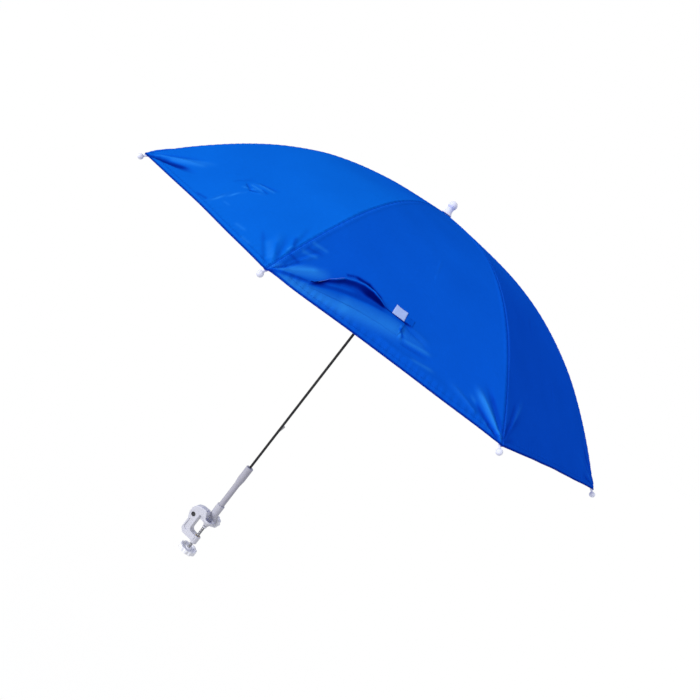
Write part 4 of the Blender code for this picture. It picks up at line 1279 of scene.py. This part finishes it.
@dataclass
class ClosingStrap:
    """The strap that ties the folded shade, with its upper edge bowed off the cloth.

    Its lines are (across, along) in millimetres on the flat panel, from the sewn end at the
    panel's middle to the free end, and so are the sizes of its shape and tones.
    """

    canopy: Canopy
    section: int = 6
    upper: Line = (
        (-1, 399), (-11, 399), (-25, 397), (-29, 395), (-37, 389), (-47, 385), (-59, 385),
        (-69, 388), (-80, 394), (-85, 400), (-94, 410), (-100, 421), (-105, 430), (-109, 432),
    )
    lower: Line = ((-1, 417), (-23, 419), (-55, 425), (-84, 432), (-109, 438))
    middle: Line = (
        (-1, 402), (-23, 405), (-39, 410), (-55, 415), (-70, 420), (-84, 426), (-109, 437),
    )
    ends: tuple[float, float] = (-108.5, -1.5)
    bow: float = 7.0
    bow_ramps: Line = ((-20, -26), (-109, 26))
    bow_fall: float = 2.1
    lean: tuple[float, float] = (0.08, 0.95)
    gap: float = 0.06
    slack: float = 0.24
    back: float = 1.4
    thickness: float = 0.0008
    thread_above: float = 0.0009
    stitch: Triple = (0.0016, 0.0020, 0.00032)
    stitched: tuple[float, float] = (-101, -82)
    rows: int = 130
    back_columns: int = 6
    columns: int = 40

    def line(self, points: Line, across: Array) -> Array:
        """Read one of the strap's lines at places across the panel."""
        ordered = np.array(points[::-1], float)
        return np.interp(across, ordered[:, 0], ordered[:, 1])

    def surface(self, across: Array, step: Array) -> tuple[Array, Array, Array]:
        """The strap's inner face.

        Args:
            across: Places across the panel, in millimetres.
            step: From -1 to 0 up the edge's rolled back, then to 1 at the lower edge.

        Returns:
            Points, the distance down the cloth in millimetres, and the painted shade and highlight
            factors.
        """
        right, left = self.bow_ramps
        rise = self.bow * ease(across, *right) * ease(across, *left)
        top = self.line(self.upper, across) + self.lean[1] * rise
        down, behind = np.clip(step, 0, 1), np.clip(-step, 0, 1)
        along = top + (self.line(self.lower, across) - top) * down - self.back * behind
        width = np.maximum(self.line(self.middle, across) - top, 1.0)
        depth = np.clip((along - top) / width, 0, 2)
        lift = rise * np.exp(-self.bow_fall * depth) * (1 - behind ** 1.5)
        lift = lift * (1 - ease(down, 0.8, 0.2)) + self.gap + self.slack * (1 - down)
        t = self.canopy.shape.position(along / MM)
        over = (across - self.lean[0] * rise) / MM
        share = 1.0 + over / self.canopy.shape.half_chord(t)
        point = self.canopy.cloth_point(self.section, t, share, lift / MM)
        return point, along, self.shading(across, along, depth, behind, rise)

    def shading(
        self, across: Array, along: Array, depth: Array, behind: Array, rise: Array
    ) -> Array:
        """Painted shade, deep under the bowed edge and like the cloth beneath near the lower one.

        Args:
            across: Places across the panel, in millimetres.
            along: Lengths of cloth from the apex, in millimetres.
            depth: From 0 at the upper edge to 1 at the strap's middle line.
            behind: From 0 to 1 down the edge's rolled back.
            rise: How far the upper edge stands off the cloth, in millimetres.

        Returns:
            A factor at each point.
        """
        bowed = ease(rise, 0, 3.0)
        right = ease(across, -66, 18) * ease(across, -24, -10)
        deep = 0.36 - 0.16 * right
        dark = deep + (0.98 - deep) * ease(depth, 0.16 + 0.16 * right, 0.34)
        patch = ease(across, -58, -14) * ease(across, -104, 14)
        half_dark = 0.74 + 0.22 * patch * bell(depth, 0.55, 0.13)
        below = half_dark + (1 - half_dark) * ease(depth, 0.86, 0.2)
        # A painted highlight on the upper edge, over the painted shade below it.
        edge = bell(depth, 0, 0.05)
        face = np.minimum(dark, below) * (1 - edge) + 1.12 * edge
        face = 1 - bowed * (1 - face)
        line = 1 - 0.65 * (1 - bowed) * bell(depth, 0.04, 0.12)
        # Painted shadow under the strap's free end.
        free_end_shadow = 1 - 0.8 * bell(across, -101, 7) * ease(depth, 1.0, -0.5)
        # The panel's painted strokes carry on over the strap near its lower edge.
        painted_stroke_light = self.canopy.relief.painted_stroke_shade(self.section, across / MM, along / MM)
        painted_stroke_light = 1 + (painted_stroke_light - 1) * ease(depth, 0.7, 0.5)
        # The edge's rolled back gets a slight painted highlight.
        return np.where(behind > 0, 1.08, face) * line * free_end_shadow * painted_stroke_light

    def build(self) -> None:
        """Build the strap and the pale thread along its upper edge."""
        across = np.linspace(*self.ends, self.rows)
        back = np.linspace(-1, 0, self.back_columns, endpoint=False)
        steps = np.concatenate([back, np.linspace(0, 1, self.columns) ** 1.25])
        grid_across, grid_step = np.meshgrid(across, steps, indexing="ij")
        inner, along, shade = self.surface(grid_across, grid_step)
        normal = unit(np.cross(np.gradient(inner, axis=0), np.gradient(inner, axis=1)))
        outward = self.canopy.base_normal(self.section, np.array([0.93]), np.array([0.6]))[0]
        if float((normal @ outward).mean()) < 0:
            normal = -normal
        thick = 0.12 + 0.88 * ease(grid_step, 1, -0.4) * ease(grid_step, -1, 0.4)
        outer = inner + normal * (self.thickness * thick)[..., None]
        cloth = self.canopy.finishes.get(Look.BLUE_STRAP)
        piece = shell_piece("closing_strap_cloth", outer, inner, cloth)
        set_shade(piece, np.concatenate([shade, shade]))
        set_flat(piece, along / MM, grid_across / MM)
        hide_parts("closing_strap")
        self.canopy.fold_with(piece, self.section)
        run = np.linspace(*self.stitched, 40)
        edge = self.surface(run, np.zeros_like(run))[0] + outward * self.thread_above
        tree = stitch_tree(self.canopy.finishes.get(Look.PALE_THREAD))
        thread = stitched_piece("strap_thread", [edge], tree, self.stitch)
        self.canopy.fold_with(thread, self.section)
        LOG.info("closing strap: %d faces", len(piece.data.polygons))


@dataclass
class Patch:
    """A small bare label sewn flat on the cloth."""

    canopy: Canopy
    name: str
    node: str
    section: int
    span_t: tuple[float, float]
    span_share: tuple[float, float]
    look: Look
    slot: str
    rows: int = 18
    thickness: float = 0.00035
    above: float = 0.0002
    curl: float = 0.0006
    rim: float = 0.08
    rim_thin: float = 0.35

    def place(self, a: Array, b: Array, above: Array) -> Array:
        """Points of the patch.

        Args:
            a: Shares of its height.
            b: Shares of its width.
            above: Distances above its lower face.

        Returns:
            Points in the model's frame.
        """
        t = self.span_t[0] + (self.span_t[1] - self.span_t[0]) * a
        share = self.span_share[0] + (self.span_share[1] - self.span_share[0]) * b
        lift = self.above + self.curl * (4 * (b - 0.5) ** 2) * (1 - a) ** 2 + above
        normal = self.canopy.base_normal(self.section, t, share)
        return self.canopy.cloth_point(self.section, t, share) + normal * lift[..., None]

    def build(self) -> None:
        """Build the patch."""
        a, b = np.meshgrid(*[np.linspace(0, 1, self.rows)] * 2, indexing="ij")
        edge = np.minimum(np.minimum(a, 1 - a), np.minimum(b, 1 - b))
        thick = self.rim_thin + (1 - self.rim_thin) * smooth(edge / self.rim)
        top = self.place(a, b, self.thickness * thick)
        bottom = self.place(a, b, np.zeros_like(a))
        piece = shell_piece(self.name, top, bottom, self.canopy.finishes.get(self.look))
        set_shade(piece)
        width = float(np.linalg.norm(top[0, -1] - top[0, 0]))
        height = float(np.linalg.norm(top[-1, 0] - top[0, 0]))
        set_flat(piece, b * width, a * height)
        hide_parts(self.node)
        self.canopy.fold_with(piece, self.section)
        LOG.info("%s: %.1f by %.1f mm", self.name, width * MM, height * MM)


# The clamp and the frame


@dataclass
class ClampHardware:
    """The clamp's screw, cut with a real thread."""

    finishes: FinishBook
    radius: float = 0.0024
    depth: float = 0.00036
    pitch: float = 0.0008
    nose: float = -0.0037
    top: float = -0.0048
    foot: float = -0.0490
    end: float = -0.0530
    sides: int = 32

    def thread_tree(self) -> Tree:
        """Geometry nodes that wind a thread of triangular section round a core."""
        inputs = {"Radius": 0.0022, "Height": 0.04, "Turns": 50.0, "Depth": 0.0004}
        inputs = {"Geometry": None} | inputs
        net = Net.group("GeometryNodeTree", "screw_thread", inputs, ("Geometry",))
        given = net.source
        coil = net.add("GeometryNodeCurveSpiral", {
            "Resolution": 20, "Start Radius": given["Radius"], "End Radius": given["Radius"],
            "Height": given["Height"], "Rotations": given["Turns"],
        })
        feeds = {"Resolution": 3, "Radius": given["Depth"]}
        outline = net.add("GeometryNodeCurvePrimitiveCircle", feeds)
        feeds = {"Curve": coil, "Profile Curve": outline, "Fill Caps": True}
        sweep = net.add("GeometryNodeCurveToMesh", feeds)
        flat = net.add("GeometryNodeSetShadeSmooth", {0: sweep, "Shade Smooth": False})
        both = net.add("GeometryNodeJoinGeometry", {0: flat})
        net.feed(both, 0, given["Geometry"])
        whole = net.add("GeometryNodeRealizeInstances", {0: both})
        plate = self.finishes.get(Look.BRIGHT_PLATE)
        net.feed(net.out, 0, net.add("GeometryNodeSetMaterial", {0: whole, "Material": plate}))
        return net.tree

    def core(self) -> Piece:
        """The screw's core with its plain neck and foot, as a turned solid."""
        core = self.radius - self.depth * 0.75
        profile = [
            (0.0014, self.nose), (0.0019, -0.0043), (core, self.top), (core, self.foot),
            (self.radius, self.foot - 0.0005), (self.radius, self.end),
        ]
        angles = [2 * math.pi * i / self.sides for i in range(self.sides)]
        points = [(r * math.cos(a), r * math.sin(a), z) for r, z in profile for a in angles]
        faces = []
        for row in range(len(profile) - 1):
            for i in range(self.sides):
                a, b = row * self.sides + i, row * self.sides + (i + 1) % self.sides
                faces.append((a, a + self.sides, b + self.sides, b))
        faces += [range(self.sides), range(len(points) - 1, len(points) - self.sides - 1, -1)]
        plate = self.finishes.get(Look.BRIGHT_PLATE)
        piece = add_piece("clamp_screw_thread", points, [tuple(f) for f in faces], plate)
        piece.data.set_sharp_from_angle(angle=math.radians(35))
        return piece

    def build(self) -> None:
        """Build the threaded screw; the nodes wind the thread up from the origin."""
        piece = self.core()
        lengthwise = self.top - self.foot
        piece.data.transform(Matrix.Translation((0, 0, -self.foot)))
        sizes = {"Radius": self.radius - self.depth * 0.62, "Height": lengthwise}
        sizes |= {"Turns": lengthwise / self.pitch, "Depth": self.depth * 0.9}
        run_nodes(piece, self.thread_tree(), sizes)
        piece.data.transform(Matrix.Translation((0, 0, self.foot)))
        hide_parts("clamp_screw")
        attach(piece, "screw")
        LOG.info("clamp screw: %d faces", len(piece.data.polygons))


@dataclass
class FrameFinishes:
    """Gives every solid that stays in view its finish, by its slot or by its own name."""

    finishes: FinishBook
    by_slot: dict[str, Look] = field(default_factory=lambda: {
        "plastic": Look.MOULDED_WHITE,
        "rubber": Look.PAD_RUBBER,
        "rod": Look.BLACK_ROD,
        "steel": Look.BRIGHT_PLATE,
        "brass": Look.TURNED_BRASS,
        "cloth": Look.BLUE_CLOTH,
        "label": Look.LABEL_CLOTH,
    })
    by_name: dict[str, Look] = field(default_factory=lambda: {
        "rib_tip": Look.TIP_WHITE,
        "rib_": Look.RIB_STEEL,
        "stretcher_": Look.RIB_STEEL,
        "finial": Look.TIP_WHITE,
        "clamp_body": Look.CLAMP_WHITE,
        "clamp_knob": Look.KNOB_WHITE,
        "tilt_knob": Look.KNOB_WHITE,
        "handle_tube": Look.POST_GREY,
        "rod_collar": Look.POST_GREY,
        "tilt_socket": Look.SOCKET_GREY,
    })

    def build(self, frame: dict) -> None:
        """Assign the finishes; the start of a name counts before its slot.

        Args:
            frame: The loaded frame.
        """
        slots = {part["node"]: part["material_slot"] for part in frame["record"]["subparts"]}
        for name, node in frame["nodes"].items():
            own = [look for start, look in self.by_name.items() if name.startswith(start)]
            look = (own or [self.by_slot[slots[name]]])[0]
            for place in node.material_slots:
                place.material = self.finishes.get(look)
            LOG.info("%s: %s", name, look.name)


# The studio


@dataclass(frozen=True)
class Viewpoint:
    """The camera that took the picture, from the fit of the shade's ribs and rim."""

    azimuth: float = math.radians(17.944)
    elevation: float = math.radians(13.945)
    roll: float = math.radians(37.305)
    distance: float = 2.779
    focal: float = 733.6
    aim: tuple[float, float] = (-0.3481, -0.3083)
    centre: tuple[float, float] = (-69.8, 41.7)
    picture: float = 700.0
    sensor: float = 36.0
    reach: float = 200.0

    def build(self, shape: ShadeShape) -> None:
        """Create the camera.

        Args:
            shape: The shade, whose radius is the fit's unit.
        """
        az, el = self.azimuth, self.elevation
        back = Vector((math.sin(az) * math.cos(el), -math.cos(az) * math.cos(el), math.sin(el)))
        right = Vector((math.cos(az), math.sin(az), 0.0))
        up = back.cross(right)
        x_axis = math.cos(self.roll) * right + math.sin(self.roll) * up
        y_axis = -math.sin(self.roll) * right + math.cos(self.roll) * up
        rim = Vector((shape.axis[0], shape.axis[1], shape.apex_z - shape.rise))
        off = self.distance * back + self.aim[0] * x_axis + self.aim[1] * y_axis
        data = bpy.data.cameras.new("camera")
        data.sensor_width = self.sensor
        data.lens = self.focal / self.picture * self.sensor
        data.shift_x = -self.centre[0] / self.picture
        data.shift_y = self.centre[1] / self.picture
        data.clip_end = self.reach
        camera = bpy.data.objects.new("camera", data)
        bpy.context.scene.collection.objects.link(camera)
        turn = Matrix((x_axis, y_axis, back)).transposed().to_4x4()
        camera.matrix_world = Matrix.Translation(rim + shape.radius * off) @ turn
        bpy.context.scene.camera = camera


@dataclass(frozen=True)
class Studio:
    """A plain white studio: a pale floor far below, an even sky and one broad lamp."""

    floor_z: float = -0.95
    floor_half: float = 60.0
    floor_glow: float = 1.08
    floor_matt: float = 0.20
    horizon: float = 1.0
    zenith: float = 0.42
    lamp: float = 1.95
    lamp_azimuth: float = math.radians(232.0)
    lamp_elevation: float = math.radians(14.0)
    lamp_softness: float = math.radians(24.0)

    def world(self) -> None:
        """A pale sky, dimmer overhead, that the camera and shiny surfaces see as white."""
        world = bpy.data.worlds.new("studio_sky")
        world.use_nodes = True
        net = Net(world.node_tree)
        ray = net.add("ShaderNodeLightPath").outputs
        shiny = net.math("MAXIMUM", ray["Is Glossy Ray"], ray["Is Transmission Ray"])
        white = net.math("MAXIMUM", shiny, ray["Is Camera Ray"])
        place = net.add("ShaderNodeTexCoord").outputs["Generated"]
        height = net.add("ShaderNodeSeparateXYZ", {0: place}).outputs["Z"]
        fade = net.range(height, 0.0, 1.0, self.horizon, self.zenith)
        sky = net.tree.nodes["Background"]
        net.feed(sky, "Color", (1.0, 1.0, 1.0))
        net.feed(sky, "Strength", net.range(white, 0.0, 1.0, fade, 1.0))
        bpy.context.scene.world = world

    def floor(self) -> None:
        """A pale floor that renders white where it is lit and keeps the object's shadow."""
        half, low = self.floor_half, self.floor_z
        corners = [(-half, -half, low), (half, -half, low), (half, half, low), (-half, half, low)]
        net = Shader("studio_floor")
        net.finish({"Base Color": (0.80,) * 3, "Roughness": 0.9, "Specular IOR Level": 0.1})
        glow = net.add("ShaderNodeEmission", {"Color": (1.0,) * 3, "Strength": self.floor_glow})
        matt = net.add("ShaderNodeBsdfDiffuse", {"Color": (0.9,) * 3})
        seen = net.add("ShaderNodeMixShader", {0: self.floor_matt, 1: glow, 2: matt})
        ray = net.add("ShaderNodeLightPath").outputs["Is Camera Ray"]
        whole = net.add("ShaderNodeMixShader", {0: ray, 1: net.principled, 2: seen})
        net.feed(net.tree.nodes["Material Output"], "Surface", whole)
        add_piece("floor", corners, [(0, 1, 2, 3)], net.material)

    def lights(self) -> None:
        """One broad lamp from the upper left of the picture."""
        data = bpy.data.lights.new("broad_lamp", "SUN")
        data.energy = self.lamp
        data.angle = self.lamp_softness
        lamp = bpy.data.objects.new("broad_lamp", data)
        bpy.context.scene.collection.objects.link(lamp)
        flat, az = math.cos(self.lamp_elevation), self.lamp_azimuth
        toward = Vector((flat * math.cos(az), flat * math.sin(az), math.sin(self.lamp_elevation)))
        lamp.rotation_euler = toward.to_track_quat("Z", "Y").to_euler()

    def build(self) -> None:
        """Set up the sky, the floor, the lamp and the view's colour handling."""
        self.world()
        self.floor()
        self.lights()
        bpy.context.scene.view_settings.view_transform = "Standard"


def main() -> None:
    """Dress the parasol and set up the studio."""
    logging.basicConfig(level=logging.INFO, format="%(name)s: %(message)s")
    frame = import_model()
    shape = ShadeShape()
    Viewpoint().build(shape)
    finishes = FinishBook()
    FrameFinishes(finishes).build(frame)
    canopy = Canopy(shape, ClothRelief(shape), finishes)
    canopy.build()
    ClosingStrap(canopy).build()
    Patch(
        canopy, "bare_label_cloth", "bare_label", 6, (0.886, 0.9145), (0.862, 0.976),
        Look.LABEL_CLOTH, "label",
    ).build()
    Patch(
        canopy, "side_tag_cloth", "side_tag", 7, (0.894, 0.912), (-0.992, -0.945),
        Look.BLUE_STRAP, "cloth",
    ).build()
    ClampHardware(finishes).build()
    Studio().build()


if __name__ == "__main__":
    main()
